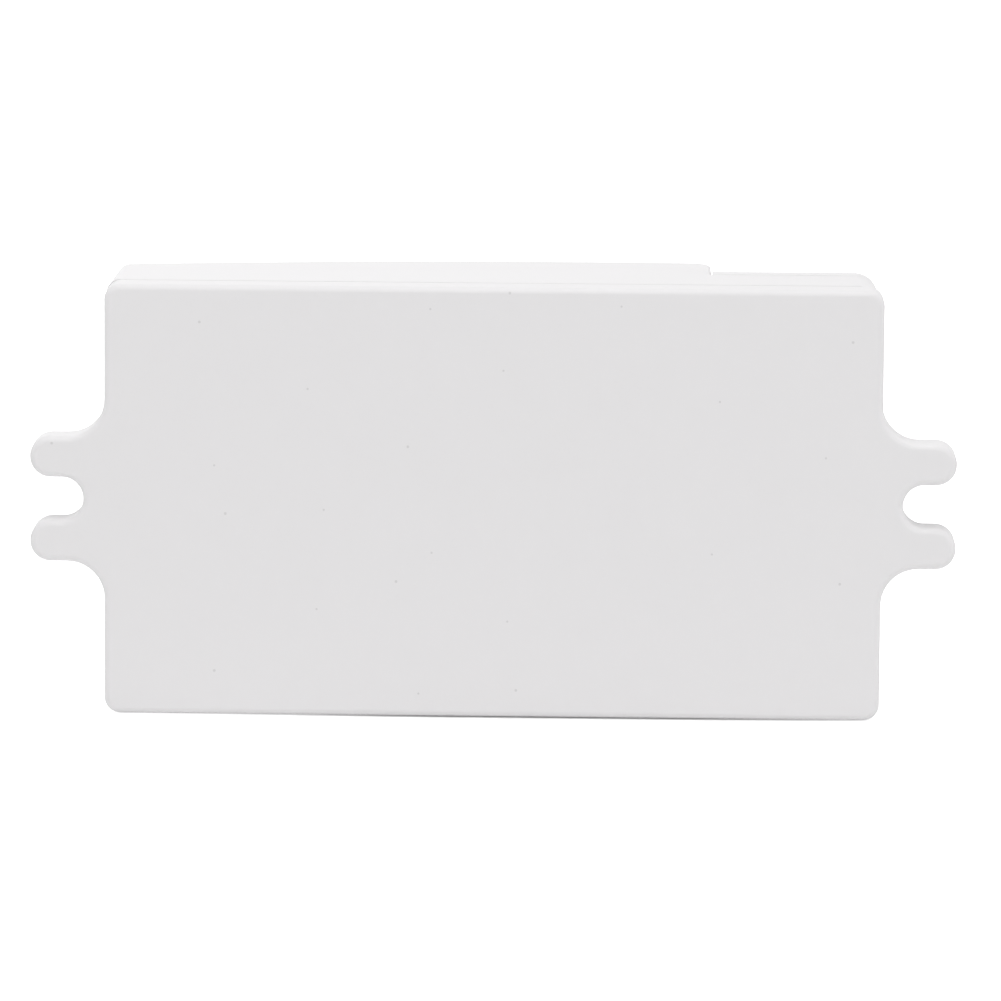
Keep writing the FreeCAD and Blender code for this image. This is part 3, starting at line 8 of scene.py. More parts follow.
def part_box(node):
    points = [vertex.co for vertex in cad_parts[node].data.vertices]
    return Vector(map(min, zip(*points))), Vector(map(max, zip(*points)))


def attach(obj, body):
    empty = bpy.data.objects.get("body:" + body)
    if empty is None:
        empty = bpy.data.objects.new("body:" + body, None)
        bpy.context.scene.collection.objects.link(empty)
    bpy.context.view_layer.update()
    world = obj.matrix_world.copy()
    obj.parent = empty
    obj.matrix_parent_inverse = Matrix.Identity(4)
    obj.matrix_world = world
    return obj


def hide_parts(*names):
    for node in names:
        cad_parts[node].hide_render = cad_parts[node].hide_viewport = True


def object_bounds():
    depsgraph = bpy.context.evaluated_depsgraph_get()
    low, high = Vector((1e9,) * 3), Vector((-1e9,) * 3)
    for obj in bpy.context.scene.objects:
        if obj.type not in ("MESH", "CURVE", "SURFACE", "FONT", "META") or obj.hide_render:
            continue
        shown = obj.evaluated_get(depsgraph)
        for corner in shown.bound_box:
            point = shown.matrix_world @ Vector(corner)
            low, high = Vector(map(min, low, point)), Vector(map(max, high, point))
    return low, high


bl_info = {
    "name": "Microwave motion sensor",
    "version": (1, 0, 0),
    "blender": (4, 5, 0),
    "location": "View3D > Sidebar > Motion sensor",
    "description": "Dresses the packed motion sensor with its finishes, dial marks and board details",
    "category": "Object",
}

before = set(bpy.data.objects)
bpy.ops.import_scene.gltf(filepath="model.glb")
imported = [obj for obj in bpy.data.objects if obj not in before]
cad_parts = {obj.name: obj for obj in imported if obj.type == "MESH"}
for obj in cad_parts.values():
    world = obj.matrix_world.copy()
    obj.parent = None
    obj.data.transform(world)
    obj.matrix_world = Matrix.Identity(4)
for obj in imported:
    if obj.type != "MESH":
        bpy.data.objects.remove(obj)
CAD_BOX = [list(corner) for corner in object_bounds()]
MM = 0.001

# Corners nearer than this become one: in a shape drawn in millimetres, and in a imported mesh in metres
WELD = 0.0004
PACKED_WELD = 0.0000005

# Scales of the patterns, in features per metre
CLOUDS = 38.0
GRAINS = 2600.0
STREAKS = 1500.0
TARNISH = 260.0
HAZE = 700.0
COIL_TURNS = 2100.0
WEAVE = 900.0
# Two sizes of speck: cells per metre, radius as a part of a cell, and the share of the cells that hold one
SPECKS = ((95.0, 0.0105, 0.42), (60.0, 0.0085, 0.5))

# Outlines printed round parts, in millimetres
INK = 0.02
INK_LINE = 0.14
SMALL_PART = 4.0
SMALL_GAP = 0.25
LARGE_GAP = 0.4
ROUND_GAP = 0.2
ROUND_LINE = 0.16

# Tracks and pads, in millimetres, and the share of the way where a track bends back
COPPER = 0.018
TRACK_WIDTH = 0.28
TRACK_RISE = 1.6
TRACK_STAGGER = 0.12
TRACK_BEND = 0.35
BACK_TRACK_WIDTH = 0.9
JOINTS_APART = (4.5, 9.0)
PLATING = 0.03
PIN_HOLE = 0.5
PIN_PAD = 0.85
LEAD_RADIUS = 0.39
CHIP_END = 0.3
LID_SHEET = 0.08

# The scale round an adjuster, in millimetres and degrees
PRINT_SUNK = 0.06
PRINT_PROUD = 0.035
DIAL_GAP = 0.75
DIAL_LINE = 0.22
LONG_TICK_LINE = 0.3
LONG_TICK_RATIO = 1.35
SIGN_GAP = 0.5
SIGN_ARM = 0.45
SIGN_SPLIT = 0.11
SIGN_TURN = 20

# Parts of a turn on a can, in degrees: its stripe, the minus marks, and the score between two quarters
STRIPE_TURN = 46
MINUS_TURN = 5
SCORE_TURN = 10

RING_ENAMELS = (("brown", (0.10, 0.035, 0.015)), ("black", (0.01, 0.01, 0.01)),
                ("dark", (0.012, 0.012, 0.012)), ("gold", (0.55, 0.36, 0.08)))
RING_WIDTH = 0.5
RING_PITCH = 0.95
FIRST_RING = -1.7

# The stage, in metres, watts and plain strengths
FLOOR_REACH = 3.0
FLOOR_DROP = 0.0001
FLOOR_WHITE = (0.9, 0.9, 0.9, 1)
FLOOR_GLOW = 0.8
# A painted contact shadow on the floor: its centre and stretch, the reach where the camera-seen glow starts
# and stops rising, and the glow inside it
SHADOW_PLACE = (-0.007, 0, 0)
SHADOW_STRETCH = (1, 0.4, 0)
SHADOW_INNER = 0.01
SHADOW_OUTER = 0.04
SHADOW_GLOW = 0.2
ROOM_LIGHT = 0.52
BACKDROP = 1.0
PLAIN_WHITE = (1, 1, 1, 1)
LAMP_SIZE = 0.9
LAMP_AIM = (0, 0, 0)
LAMPS = (("top_light", (0.0, -0.25, 0.9), 4.6),
         ("near_light", (0.35, -1.15, 0.2), 0.85),
         ("left_light", (-1.1, -0.35, 0.4), 0.95),
         ("right_light", (1.1, -0.35, 0.4), 1.6),
         ("far_light", (-0.4, 1.15, 0.45), 1.6))

# The view: degrees to the right, above and of tilt, the lens in millimetres, and the rest in metres
VIEW_ANGLES = (1.05, 8.48, 0.41)
VIEW_LENS = 266.15
VIEW_SENSOR = 36.0
VIEW_DISTANCE = 0.75
VIEW_AIM = (0.000795, 0.0, 0.000305)
VIEW_CLIP = (0.05, 20.0)


# Shader nodes: sockets that Python's operators work on

class Wire:
    """One output socket of a node; arithmetic on it adds Math nodes."""

    def __init__(self, nodes, socket):
        self.nodes = nodes
        self.socket = socket

    def output(self, name):
        """Another output of the same node."""
        return Wire(self.nodes, self.socket.node.outputs[name])

    def maths(self, operation, *values, clamp=False):
        return self.nodes.add("ShaderNodeMath", {"operation": operation, "use_clamp": clamp},
                              dict(enumerate(values)))

    def __add__(self, other):
        return self.maths("ADD", self, other)

    def __sub__(self, other):
        return self.maths("SUBTRACT", self, other)

    def __rsub__(self, other):
        return self.maths("SUBTRACT", other, self)

    def __mul__(self, other):
        return self.maths("MULTIPLY", self, other)

    def __lt__(self, other):
        return self.maths("LESS_THAN", self, other)

    def __gt__(self, other):
        return self.maths("GREATER_THAN", self, other)

    def __or__(self, other):
        return self.maths("MAXIMUM", self, other)

    def clamped(self):
        return self.maths("ADD", self, 0.0, clamp=True)

    __radd__ = __add__
    __rmul__ = __mul__
    __ror__ = __or__


class Nodes:
    """A node tree that is being filled."""

    def __init__(self, owner):
        owner.use_nodes = True
        self.tree = owner.node_tree

    def add(self, kind, settings=None, sockets=None, out=0):
        """One node: its settings first, then the values or links of its sockets."""
        made = self.tree.nodes.new(kind)
        for key, value in (settings or {}).items():
            setattr(made, key, value)
        for key, value in (sockets or {}).items():
            if isinstance(value, Wire):
                self.tree.links.new(value.socket, made.inputs[key])
            else:
                made.inputs[key].default_value = value
        return Wire(self, made.outputs[out]) if len(made.outputs) else None

    def blend(self, amount, first, second):
        """A colour between two colours."""
        colours = [value if isinstance(value, Wire) else (*value, 1.0) for value in (first, second)]
        return self.add("ShaderNodeMix", {"data_type": "RGBA"},
                        {0: amount, 6: colours[0], 7: colours[1]}, out=2)

    def place(self, scale=(1, 1, 1), turn=(0, 0, 0), shift=(0, 0, 0)):
        """Object coordinates, stretched, turned and shifted."""
        points = self.add("ShaderNodeTexCoord", out="Object")
        return self.add("ShaderNodeMapping", {},
                        {"Vector": points, "Scale": scale, "Rotation": turn, "Location": shift})

    def noise(self, scale, detail=2.0, at=None):
        return self.add("ShaderNodeTexNoise", {},
                        {"Vector": at or self.place(), "Scale": scale, "Detail": detail})

    def bands(self, direction, scale, distortion):
        """Even waves across one axis."""
        return self.add("ShaderNodeTexWave", {"wave_type": "BANDS", "bands_direction": direction},
                        {"Vector": self.place(), "Scale": scale, "Distortion": distortion})


class Finish(Nodes):
    """A material with one principled shader."""

    def __init__(self, name, **constants):
        self.material = bpy.data.materials.new(name)
        super().__init__(self.material)
        self.shader = self.tree.nodes["Principled BSDF"]
        for socket, value in constants.items():
            self.put(socket.replace("_", " "), value)

    def put(self, socket, value):
        target = self.shader.inputs[socket]
        if isinstance(value, Wire):
            self.tree.links.new(value.socket, target)
        elif target.type == "RGBA":
            target.default_value = (*value, 1.0)
        else:
            target.default_value = value

    def bump(self, height, distance):
        self.put("Normal", self.add("ShaderNodeBump", {}, {"Height": height, "Distance": distance}))


def shade(colour, factor):
    return tuple(channel * factor for channel in colour)


def moulded_plastic(name, colour, rough=0.5, grain=0.0, mottle=0.03, specks=0.0):
    """Moulded plastic: a fine grain, a faint cloudiness, and a few dark specks where asked."""
    finish = Finish(name, Specular_IOR_Level=0.4)
    cloud = finish.noise(CLOUDS, detail=3.0)
    fine = finish.noise(GRAINS, detail=1.0)
    tint = finish.blend(cloud, shade(colour, 1 - mottle), shade(colour, 1 + mottle))
    tint = finish.blend((fine * 0.5).clamped(), tint, shade(colour, 1 - mottle))
    if specks:
        for scale, radius, share in SPECKS:
            cells = finish.add("ShaderNodeTexVoronoi", {"voronoi_dimensions": "2D"},
                               {"Vector": finish.place(turn=(math.radians(90), 0, 0)), "Scale": scale})
            pick = finish.add("ShaderNodeSeparateColor", {}, {"Color": cells.output("Color")}) < share
            tint = finish.blend((cells < radius) * pick * specks, tint, shade(colour, 0.5))
    finish.put("Base Color", tint)
    finish.put("Roughness", fine * 0.12 + (rough - 0.06))
    if grain:
        finish.bump(fine, grain)
    return finish.material


def metal(name, colour, rough=0.3, brushed=False):
    """Bare or plated metal, a little tarnished, with fine streaks along Y."""
    finish = Finish(name, Metallic=1.0)
    streak = finish.noise(STREAKS, at=finish.place(scale=(1, 0.15, 1)))
    finish.put("Base Color", finish.blend(finish.noise(TARNISH), shade(colour, 0.86), colour))
    finish.put("Roughness", streak * 0.25 + (rough - 0.12))
    finish.bump(streak, 0.00002 if brushed else 0.00001)
    return finish.material


def clear_plastic(name, colour, rough=0.12, alpha=0.35):
    """Clear or tinted plastic with a faint haze."""
    finish = Finish(name, Alpha=alpha, IOR=1.49)
    haze = finish.noise(HAZE)
    finish.put("Base Color", finish.blend(haze, shade(colour, 0.92), colour))
    finish.put("Roughness", haze * 0.1 + (rough - 0.05))
    return finish.material


def winding(name):
    """Enamelled copper wire, wound in close turns along X, with painted shade in the grooves between turns.
    """
    finish = Finish(name, Metallic=0.85)
    turns_and_groove_shade = finish.bands("X", COIL_TURNS, 0.3)
    # Painted shade and light: the colour is darker in the grooves between turns and brighter on their
    # crests
    finish.put("Base Color", finish.blend(turns_and_groove_shade, (0.30, 0.09, 0.03), (0.72, 0.29, 0.11)))
    finish.put("Roughness", 0.45 - turns_and_groove_shade * 0.15)
    finish.bump(turns_and_groove_shade, 0.00004)
    return finish.material


def solder_mask(name, colour):
    """Circuit board: woven glass under a satin mask."""
    finish = Finish(name, Specular_IOR_Level=0.5, Coat_Weight=0.25)
    web = finish.bands("X", WEAVE, 0.6) * 0.5 + finish.bands("Z", WEAVE, 0.6) * 0.5
    finish.put("Base Color", finish.blend(web * 0.35, colour, shade(colour, 1.5)))
    finish.put("Roughness", web * 0.12 + 0.32)
    finish.bump(web, 0.00001)
    return finish.material


# Shared mesh steps, with every length in millimetres until a piece is finished

def turned(shape, profile, centre, axis="y", steps=40, angle=360.0, start=0.0):
    """Spin a profile of (radius, distance along the axis) round an axis through a centre."""
    along = "xyz".index(axis)
    across = {"x": 1, "y": 0, "z": 0}[axis]
    points = []
    for radius, reach in profile:
        place = Vector(centre)
        place[along] += reach
        place[across] += radius
        points.append(shape.verts.new(place))
    edges = [shape.edges.new(pair) for pair in zip(points, points[1:])]
    around = Vector([float(index == along) for index in range(3)])
    if start:
        turn = Matrix.Rotation(math.radians(start), 3, around)
        bmesh.ops.rotate(shape, cent=centre, matrix=turn, verts=points)
    whole = abs(angle) >= 360.0
    bmesh.ops.spin(shape, geom=points + edges, cent=centre, axis=around, dvec=(0, 0, 0),
                   angle=math.radians(angle), steps=steps, use_merge=whole)


def hoop(shape, inner, outer, low, high, centre, axis="y", steps=40, angle=360.0, start=0.0):
    """A flat ring, or part of one, with a rectangular section."""
    loop = [(inner, low), (outer, low), (outer, high), (inner, high), (inner, low)]
    turned(shape, loop, centre, axis, steps, angle, start)


def close_ends(shape):
    """Fill the open ends that a part turn leaves."""
    bmesh.ops.remove_doubles(shape, verts=shape.verts[:], dist=WELD)
    bmesh.ops.holes_fill(shape, edges=[edge for edge in shape.edges if edge.is_boundary], sides=0)


def strip(shape, start, end, width, low, high):
    """A flat bar between two points given as (x, z), from one depth to another."""
    run = Vector((end[0] - start[0], 0, end[1] - start[1]))
    bar = bmesh.ops.create_cube(shape, size=1.0)["verts"]
    bmesh.ops.scale(shape, vec=(run.length, high - low, width), verts=bar)
    turn = Matrix.Rotation(-math.atan2(run.z, run.x), 3, "Y")
    bmesh.ops.rotate(shape, cent=(0, 0, 0), matrix=turn, verts=bar)
    centre = ((start[0] + end[0]) / 2, (low + high) / 2, (start[1] + end[1]) / 2)
    bmesh.ops.translate(shape, vec=centre, verts=bar)


def block(shape, low, high, bevel=0.0, segments=2):
    """A block between two corners, with rounded edges."""
    made = bmesh.ops.create_cube(shape, size=1.0)["verts"]
    low, high = Vector(low), Vector(high)
    bmesh.ops.scale(shape, vec=high - low, verts=made)
    bmesh.ops.translate(shape, vec=(low + high) / 2, verts=made)
    if bevel:
        edges = list({edge for vert in made for edge in vert.link_edges})
        bmesh.ops.bevel(shape, geom=edges, offset=bevel, segments=segments, affect="EDGES",
                        profile=0.5, material=-1, clamp_overlap=True)


def finished(name, shape, finish, body="case", smooth=35, stands_for=()):
    """Weld a shape drawn in millimetres and make it a piece in metres that rides on a body."""
    bmesh.ops.remove_doubles(shape, verts=shape.verts[:], dist=WELD)
    bmesh.ops.scale(shape, vec=(MM, MM, MM), verts=shape.verts[:])
    bmesh.ops.recalc_face_normals(shape, faces=shape.faces[:])
    mesh = bpy.data.meshes.new(name)
    shape.to_mesh(mesh)
    shape.free()
    if smooth is not None:
        mesh.polygons.foreach_set("use_smooth", [True] * len(mesh.polygons))
        mesh.set_sharp_from_angle(angle=math.radians(smooth))
    mesh.materials.append(finish)
    piece = bpy.data.objects.new(name, mesh)
    bpy.context.scene.collection.objects.link(piece)
    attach(piece, body)
    if stands_for:
        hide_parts(*stands_for)


def dress(finish, *nodes):
    """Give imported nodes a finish."""
    for node in nodes:
        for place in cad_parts[node].material_slots:
            place.material = finish


def corners(node):
    """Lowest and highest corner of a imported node, in millimetres."""
    return [Vector([round(part / MM, 4) for part in corner]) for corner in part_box(node)]


def solids_of(node):
    """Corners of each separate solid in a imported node, in millimetres, sorted by X then Z."""
    shape = bmesh.new()
    shape.from_mesh(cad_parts[node].data)
    bmesh.ops.remove_doubles(shape, verts=shape.verts[:], dist=PACKED_WELD)
    todo = set(shape.verts)
    found = []
    while todo:
        heap = [todo.pop()]
        seen = []
        while heap:
            vert = heap.pop()
            seen.append(vert.co / MM)
            for edge in vert.link_edges:
                other = edge.other_vert(vert)
                if other in todo:
                    todo.remove(other)
                    heap.append(other)
        low = Vector([min(point[axis] for point in seen) for axis in range(3)])
        high = Vector([max(point[axis] for point in seen) for axis in range(3)])
        found.append((low, high))
    shape.free()
    return sorted(found, key=lambda pair: (round(pair[0].x, 2), round(pair[0].z, 2)))


def middle(pair):
    """The middle between a lowest and a highest corner."""
    return (pair[0] + pair[1]) / 2


# Settings a user would change

class SensorColours(bpy.types.PropertyGroup):
    case: bpy.props.FloatVectorProperty(
        name="Case", description="Colour of the moulded case", subtype="COLOR", default=(0.80, 0.79, 0.797))
    marks: bpy.props.FloatVectorProperty(
        name="Dial marks", description="Colour of the ticks round the adjusters", subtype="COLOR",
        default=(0.17, 0.17, 0.18))
    knobs: bpy.props.FloatVectorProperty(
        name="Adjusters", description="Colour of the three adjuster knobs", subtype="COLOR",
        default=(0.36, 0.37, 0.39))
    board: bpy.props.FloatVectorProperty(
        name="Main board", description="Colour of the board's solder mask", subtype="COLOR",
        default=(0.02, 0.13, 0.05))
    terminals: bpy.props.FloatVectorProperty(
        name="Terminal block", description="Colour of the terminal block", subtype="COLOR",
        default=(0.05, 0.24, 0.11))


class SensorSizes(bpy.types.PropertyGroup):
    arch_radius: bpy.props.FloatProperty(
        name="Arch radius", description="Radius of the arched front", unit="LENGTH", default=0.192)
    arch_top: bpy.props.FloatProperty(
        name="Arch top", description="Depth of the arch's highest line", unit="LENGTH", default=0.027)
    arch_peak: bpy.props.FloatProperty(
        name="Arch peak", description="Place of the arch's highest line along the case", unit="LENGTH",
        default=0.0109)
    tick_count: bpy.props.IntProperty(
        name="Dial ticks", description="Ticks round each adjuster", default=11, min=3, max=31)
    tick_length: bpy.props.FloatProperty(
        name="Tick length", description="Length of a dial tick", unit="LENGTH", default=0.0008)
    dial_swing: bpy.props.FloatProperty(
        name="Dial swing", description="Turn of an adjuster each way from the middle of its scale",
        subtype="ANGLE", default=math.radians(135))


# Pieces

class SENSOR_OT_case(bpy.types.Operator):
    """Finish the back cover, the front housing and the terminal cover"""
    bl_idname = "sensor.case"
    bl_label = "Case"

    def execute(self, context):
        colour = tuple(context.scene.sensor_colours.case)
        white = moulded_plastic("white_case_plastic", colour, rough=0.55, grain=0.000006, mottle=0.006,
                                specks=0.3)
        dress(white, "back_cover", "front_housing", "terminal_cover")
        return {"FINISHED"}


class SENSOR_OT_adjusters(bpy.types.Operator):
    """Finish the knobs and print a scale round each on the arched front"""
    bl_idname = "sensor.adjusters"
    bl_label = "Adjusters"

    def execute(self, context):
        colours, sizes = context.scene.sensor_colours, context.scene.sensor_sizes
        grey = moulded_plastic("grey_knob_plastic", tuple(colours.knobs), rough=0.42, grain=0.000004,
                               mottle=0.04)
        ink = moulded_plastic("dial_ink", tuple(colours.marks), rough=0.6, mottle=0.05)
        paint = moulded_plastic("pointer_paint", (0.82, 0.82, 0.8), rough=0.5, mottle=0.03)
        rotor = moulded_plastic("white_rotor_plastic", (0.74, 0.73, 0.68), rough=0.45, mottle=0.03)
        blue = moulded_plastic("blue_trimmer_plastic", (0.03, 0.12, 0.42), rough=0.4, grain=0.000003,
                               mottle=0.06)
        names = ("sensitivity", "time", "daylight")
        dress(grey, *[f"{name}_knob" for name in names])
        dress(rotor, *[f"{name}_rotor" for name in names])
        dress(blue, "potentiometer_bodies")
        scale = bmesh.new()
        for name in names:
            low, high = corners(f"{name}_knob")
            dial_marks(scale, sizes, low, high)
            knob_pointer(name, low, high, paint)
        finished("dial_marks", scale, ink, smooth=None)
        return {"FINISHED"}


def knob_pointer(name, low, high, paint):
    """A painted mark between the end of a knob's slot and its rim."""
    centre, radius = (low + high) / 2, (high.x - low.x) / 2
    half, sunk, proud = 0.25, 0.05, 0.04
    shape = bmesh.new()
    block(shape, (centre.x - half, high.y - sunk, centre.z + 0.76 * radius),
          (centre.x + half, high.y + proud, centre.z + 0.9 * radius), bevel=0.03, segments=1)
    finished(f"{name}_pointer", shape, paint, f"{name}_adjuster", smooth=None)


def dial_marks(shape, sizes, low, high):
    """Ticks round one knob, with a plus at the clockwise end and a minus at the other."""
    centre, radius = (low + high) / 2, (high.x - low.x) / 2
    count, swing = sizes.tick_count, sizes.dial_swing
    near = radius + DIAL_GAP
    for index in range(count):
        angle = swing * (2 * index / (count - 1) - 1)
        long = index in (0, count // 2, count - 1)
        far = near + sizes.tick_length / MM * (LONG_TICK_RATIO if long else 1.0)
        ends = [(centre.x - math.sin(angle) * reach, centre.z + math.cos(angle) * reach)
                for reach in (near, far)]
        on_arch(shape, sizes, *ends, LONG_TICK_LINE if long else DIAL_LINE)
    for side in (-1, 1):
        angle = side * (swing + math.radians(SIGN_TURN))
        x = centre.x - math.sin(angle) * (near + SIGN_GAP)
        z = centre.z + math.cos(angle) * (near + SIGN_GAP)
        on_arch(shape, sizes, (x - SIGN_ARM, z), (x + SIGN_ARM, z), DIAL_LINE)
        if side > 0:
            for start, end in ((SIGN_SPLIT, SIGN_ARM), (-SIGN_ARM, -SIGN_SPLIT)):
                on_arch(shape, sizes, (x, z + start), (x, z + end), DIAL_LINE)


def on_arch(shape, sizes, start, end, width):
    """A printed bar on the arched front, thin enough to read as ink."""
    reach = (start[0] + end[0]) / 2 * MM - sizes.arch_peak
    top = (sizes.arch_top - sizes.arch_radius + math.sqrt(sizes.arch_radius ** 2 - reach ** 2)) / MM
    strip(shape, start, end, width, top - PRINT_SUNK, top + PRINT_PROUD)


class SENSOR_OT_terminals(bpy.types.Operator):
    """Finish the terminal block, its cages, contacts and screws, and the board's screws"""
    bl_idname = "sensor.terminals"
    bl_label = "Terminals"

    def execute(self, context):
        green = moulded_plastic("green_block_plastic", tuple(context.scene.sensor_colours.terminals),
                                rough=0.42, grain=0.000005, mottle=0.06)
        plated = metal("nickel_plated_cage", (0.66, 0.65, 0.62), rough=0.34)
        tinned = metal("tinned_contact", (0.72, 0.71, 0.69), rough=0.28)
        steel = metal("zinc_steel_screw", (0.60, 0.60, 0.61), rough=0.32, brushed=True)
        dress(green, "terminal_block_body")
        dress(plated, "terminal_cage_1", "terminal_cage_2", "terminal_cage_3")
        dress(tinned, "terminal_contacts")
        dress(steel, "terminal_screw_1", "terminal_screw_2", "terminal_screw_3", "board_screws")
        return {"FINISHED"}


class SENSOR_OT_boards(bpy.types.Operator):
    """Finish the two boards, with their tracks, printed outlines and pads"""
    bl_idname = "sensor.boards"
    bl_label = "Boards"

    def execute(self, context):
        mask = tuple(context.scene.sensor_colours.board)
        green = solder_mask("green_solder_mask", mask)
        dark = solder_mask("module_solder_mask", shade(mask, 0.72))
        track = solder_mask("masked_copper_track", (0.05, 0.24, 0.09))
        ink = moulded_plastic("board_ink", (0.78, 0.78, 0.74), rough=0.55, mottle=0.04)
        gold = metal("gold_plated_copper", (0.85, 0.62, 0.26), rough=0.25)
        black = moulded_plastic("black_spacer_plastic", (0.022, 0.022, 0.024), rough=0.45, mottle=0.1)
        dress(green, "main_board")
        dress(dark, "microwave_board")
        dress(gold, "antenna_traces", "header_pins")
        dress(black, "header_spacers")
        board_outlines(ink)
        board_tracks(track)
        module_pads(gold)
        return {"FINISHED"}


def board_outlines(ink):
    """Thin white outlines printed round the parts on the main board."""
    top = corners("main_board")[1].y
    shape = bmesh.new()
    outlined = [corners(node) for node in ("film_capacitor", "relay_case", "controller_chip")]
    outlined += solids_of("potentiometer_bodies") + solids_of("rectifier_diodes")
    for low, high in outlined:
        margin = SMALL_GAP if high.x - low.x < SMALL_PART else LARGE_GAP
        x0, z0, x1, z1 = low.x - margin, low.z - margin, high.x + margin, high.z + margin
        loop = ((x0, z0), (x1, z0), (x1, z1), (x0, z1), (x0, z0))
        for start, end in zip(loop, loop[1:]):
            strip(shape, start, end, INK_LINE, top, top + INK)
    for node in ("smoothing_capacitor", "supply_capacitor", "voltage_regulator", "driver_transistor"):
        low, high = corners(node)
        radius = (high.z - low.z) / 2
        inner = radius + ROUND_GAP
        hoop(shape, inner, inner + ROUND_LINE, 0.0, INK, (low.x + radius, top, (low.z + high.z) / 2))
    finished("board_outlines", shape, ink, smooth=None)


def board_tracks(track):
    """Masked copper tracks: from the chip to its small parts, and between joints on the back."""
    low, high = corners("main_board")
    chip = middle(corners("controller_chip"))
    rows = {1: solids_of("chip_resistors"), -1: solids_of("chip_capacitors")}
    legs = [middle(pair) for pair in solids_of("controller_legs")]
    shape = bmesh.new()
    for side, row in rows.items():
        starts = [leg for leg in legs if (leg.z - chip.z) * side > 0]
        for start, end in zip(starts, [middle(pair) for pair in row]):
            bend = start.z + side * (TRACK_RISE - TRACK_STAGGER * abs(start.x - end.x))
            turn_off = bend + (end.z - bend) * TRACK_BEND
            route = [(start.x, start.z), (start.x, bend), (end.x, turn_off), (end.x, end.z)]
            for first, second in zip(route, route[1:]):
                strip(shape, first, second, TRACK_WIDTH, high.y, high.y + COPPER)
    joints = [middle(pair) for pair in solids_of("solder_joints")]
    near_x, near_z = JOINTS_APART
    for first, second in zip(joints, joints[1:]):
        if abs(first.x - second.x) < near_x and abs(first.z - second.z) < near_z:
            corner = (second.x, first.z)
            strip(shape, (first.x, first.z), corner, BACK_TRACK_WIDTH, low.y - COPPER, low.y)
            strip(shape, corner, (second.x, second.z), BACK_TRACK_WIDTH, low.y - COPPER, low.y)
    finished("board_tracks", shape, track, smooth=None)


def module_pads(gold):
    """Gold rings round the header pins on both faces of the module."""
    low, high = corners("microwave_board")
    shape = bmesh.new()
    for pair in solids_of("header_pins"):
        pin = middle(pair)
        for face, out in ((high.y, PLATING), (low.y, -PLATING)):
            hoop(shape, PIN_HOLE, PIN_PAD, min(0, out), max(0, out), (pin.x, face, pin.z), steps=24)
    finished("module_pads", shape, gold, smooth=None)


class SENSOR_OT_solder(bpy.types.Operator):
    """Tinned leads, the solder cones round them on the back of the board, and their pads"""
    bl_idname = "sensor.solder"
    bl_label = "Solder"

    def execute(self, context):
        tin = metal("tinned_wire", (0.70, 0.70, 0.70), rough=0.3)
        bright = metal("bright_solder", (0.74, 0.74, 0.75), rough=0.2)
        dress(tin, "component_leads", "diode_tabs")
        back = corners("main_board")[0].y
        cones, pads = bmesh.new(), bmesh.new()
        for low, high in solids_of("solder_joints"):
            centre = ((low.x + high.x) / 2, back, (low.z + high.z) / 2)
            radius = (high.x - low.x) / 2
            cone = [(radius, 0.0), (radius * 0.78, -0.14), (radius * 0.6, -0.38), (radius * 0.5, -0.72),
                    (LEAD_RADIUS, -0.8), (LEAD_RADIUS, 0.0), (radius, 0.0)]
            turned(cones, cone, centre, steps=20)
            hoop(pads, radius + 0.02, radius + 0.3, -PLATING, 0.0, centre, steps=20)
        finished("solder_cones", cones, bright, smooth=60, stands_for=("solder_joints",))
        finished("solder_pads", pads, bright, smooth=None)
        return {"FINISHED"}


class SENSOR_OT_relay(bpy.types.Operator):
    """Finish the relay's case and everything in it"""
    bl_idname = "sensor.relay"
    bl_label = "Relay"

    def execute(self, context):
        blue = moulded_plastic("blue_relay_plastic", (0.02, 0.08, 0.34), rough=0.3, grain=0.000002,
                               mottle=0.05)
        black = moulded_plastic("black_relay_plastic", (0.02, 0.02, 0.022), rough=0.4, mottle=0.1)
        cream = moulded_plastic("cream_bobbin_plastic", (0.62, 0.56, 0.42), rough=0.45, mottle=0.05)
        iron = metal("soft_iron", (0.46, 0.45, 0.44), rough=0.42, brushed=True)
        bronze = metal("contact_bronze", (0.74, 0.48, 0.26), rough=0.3)
        dress(blue, "relay_case")
        dress(black, "relay_base")
        dress(cream, "relay_bobbin")
        dress(iron, "relay_core", "relay_yoke", "relay_armature")
        dress(bronze, "relay_contacts")
        dress(winding("copper_winding"), "relay_coil")
        return {"FINISHED"}


class SENSOR_OT_capacitors(bpy.types.Operator):
    """The sleeved cans, the boxed film capacitor and the row of chip capacitors"""
    bl_idname = "sensor.capacitors"
    bl_label = "Capacitors"

    def execute(self, context):
        sleeve = moulded_plastic("black_sleeve", (0.02, 0.022, 0.03), rough=0.32, mottle=0.12)
        stripe = moulded_plastic("grey_stripe", (0.48, 0.49, 0.5), rough=0.4, mottle=0.04)
        can = metal("aluminium_can", (0.56, 0.56, 0.57), rough=0.38, brushed=True)
        yellow = moulded_plastic("yellow_film_box", (0.78, 0.50, 0.05), rough=0.4, grain=0.000003,
                                 mottle=0.05)
        tan = moulded_plastic("tan_ceramic", (0.42, 0.27, 0.14), rough=0.5, mottle=0.1)
        tin = metal("tinned_end", (0.72, 0.72, 0.72), rough=0.3)
        for node in ("smoothing_capacitor", "supply_capacitor"):
            sleeved_can(node, sleeve, stripe, can)
        low, high = corners("film_capacitor")
        shape = bmesh.new()
        block(shape, low, high, bevel=0.45, segments=4)
        finished("film_box", shape, yellow, stands_for=("film_capacitor",))
        chip_row("chip_capacitors", tan, tin)
        return {"FINISHED"}


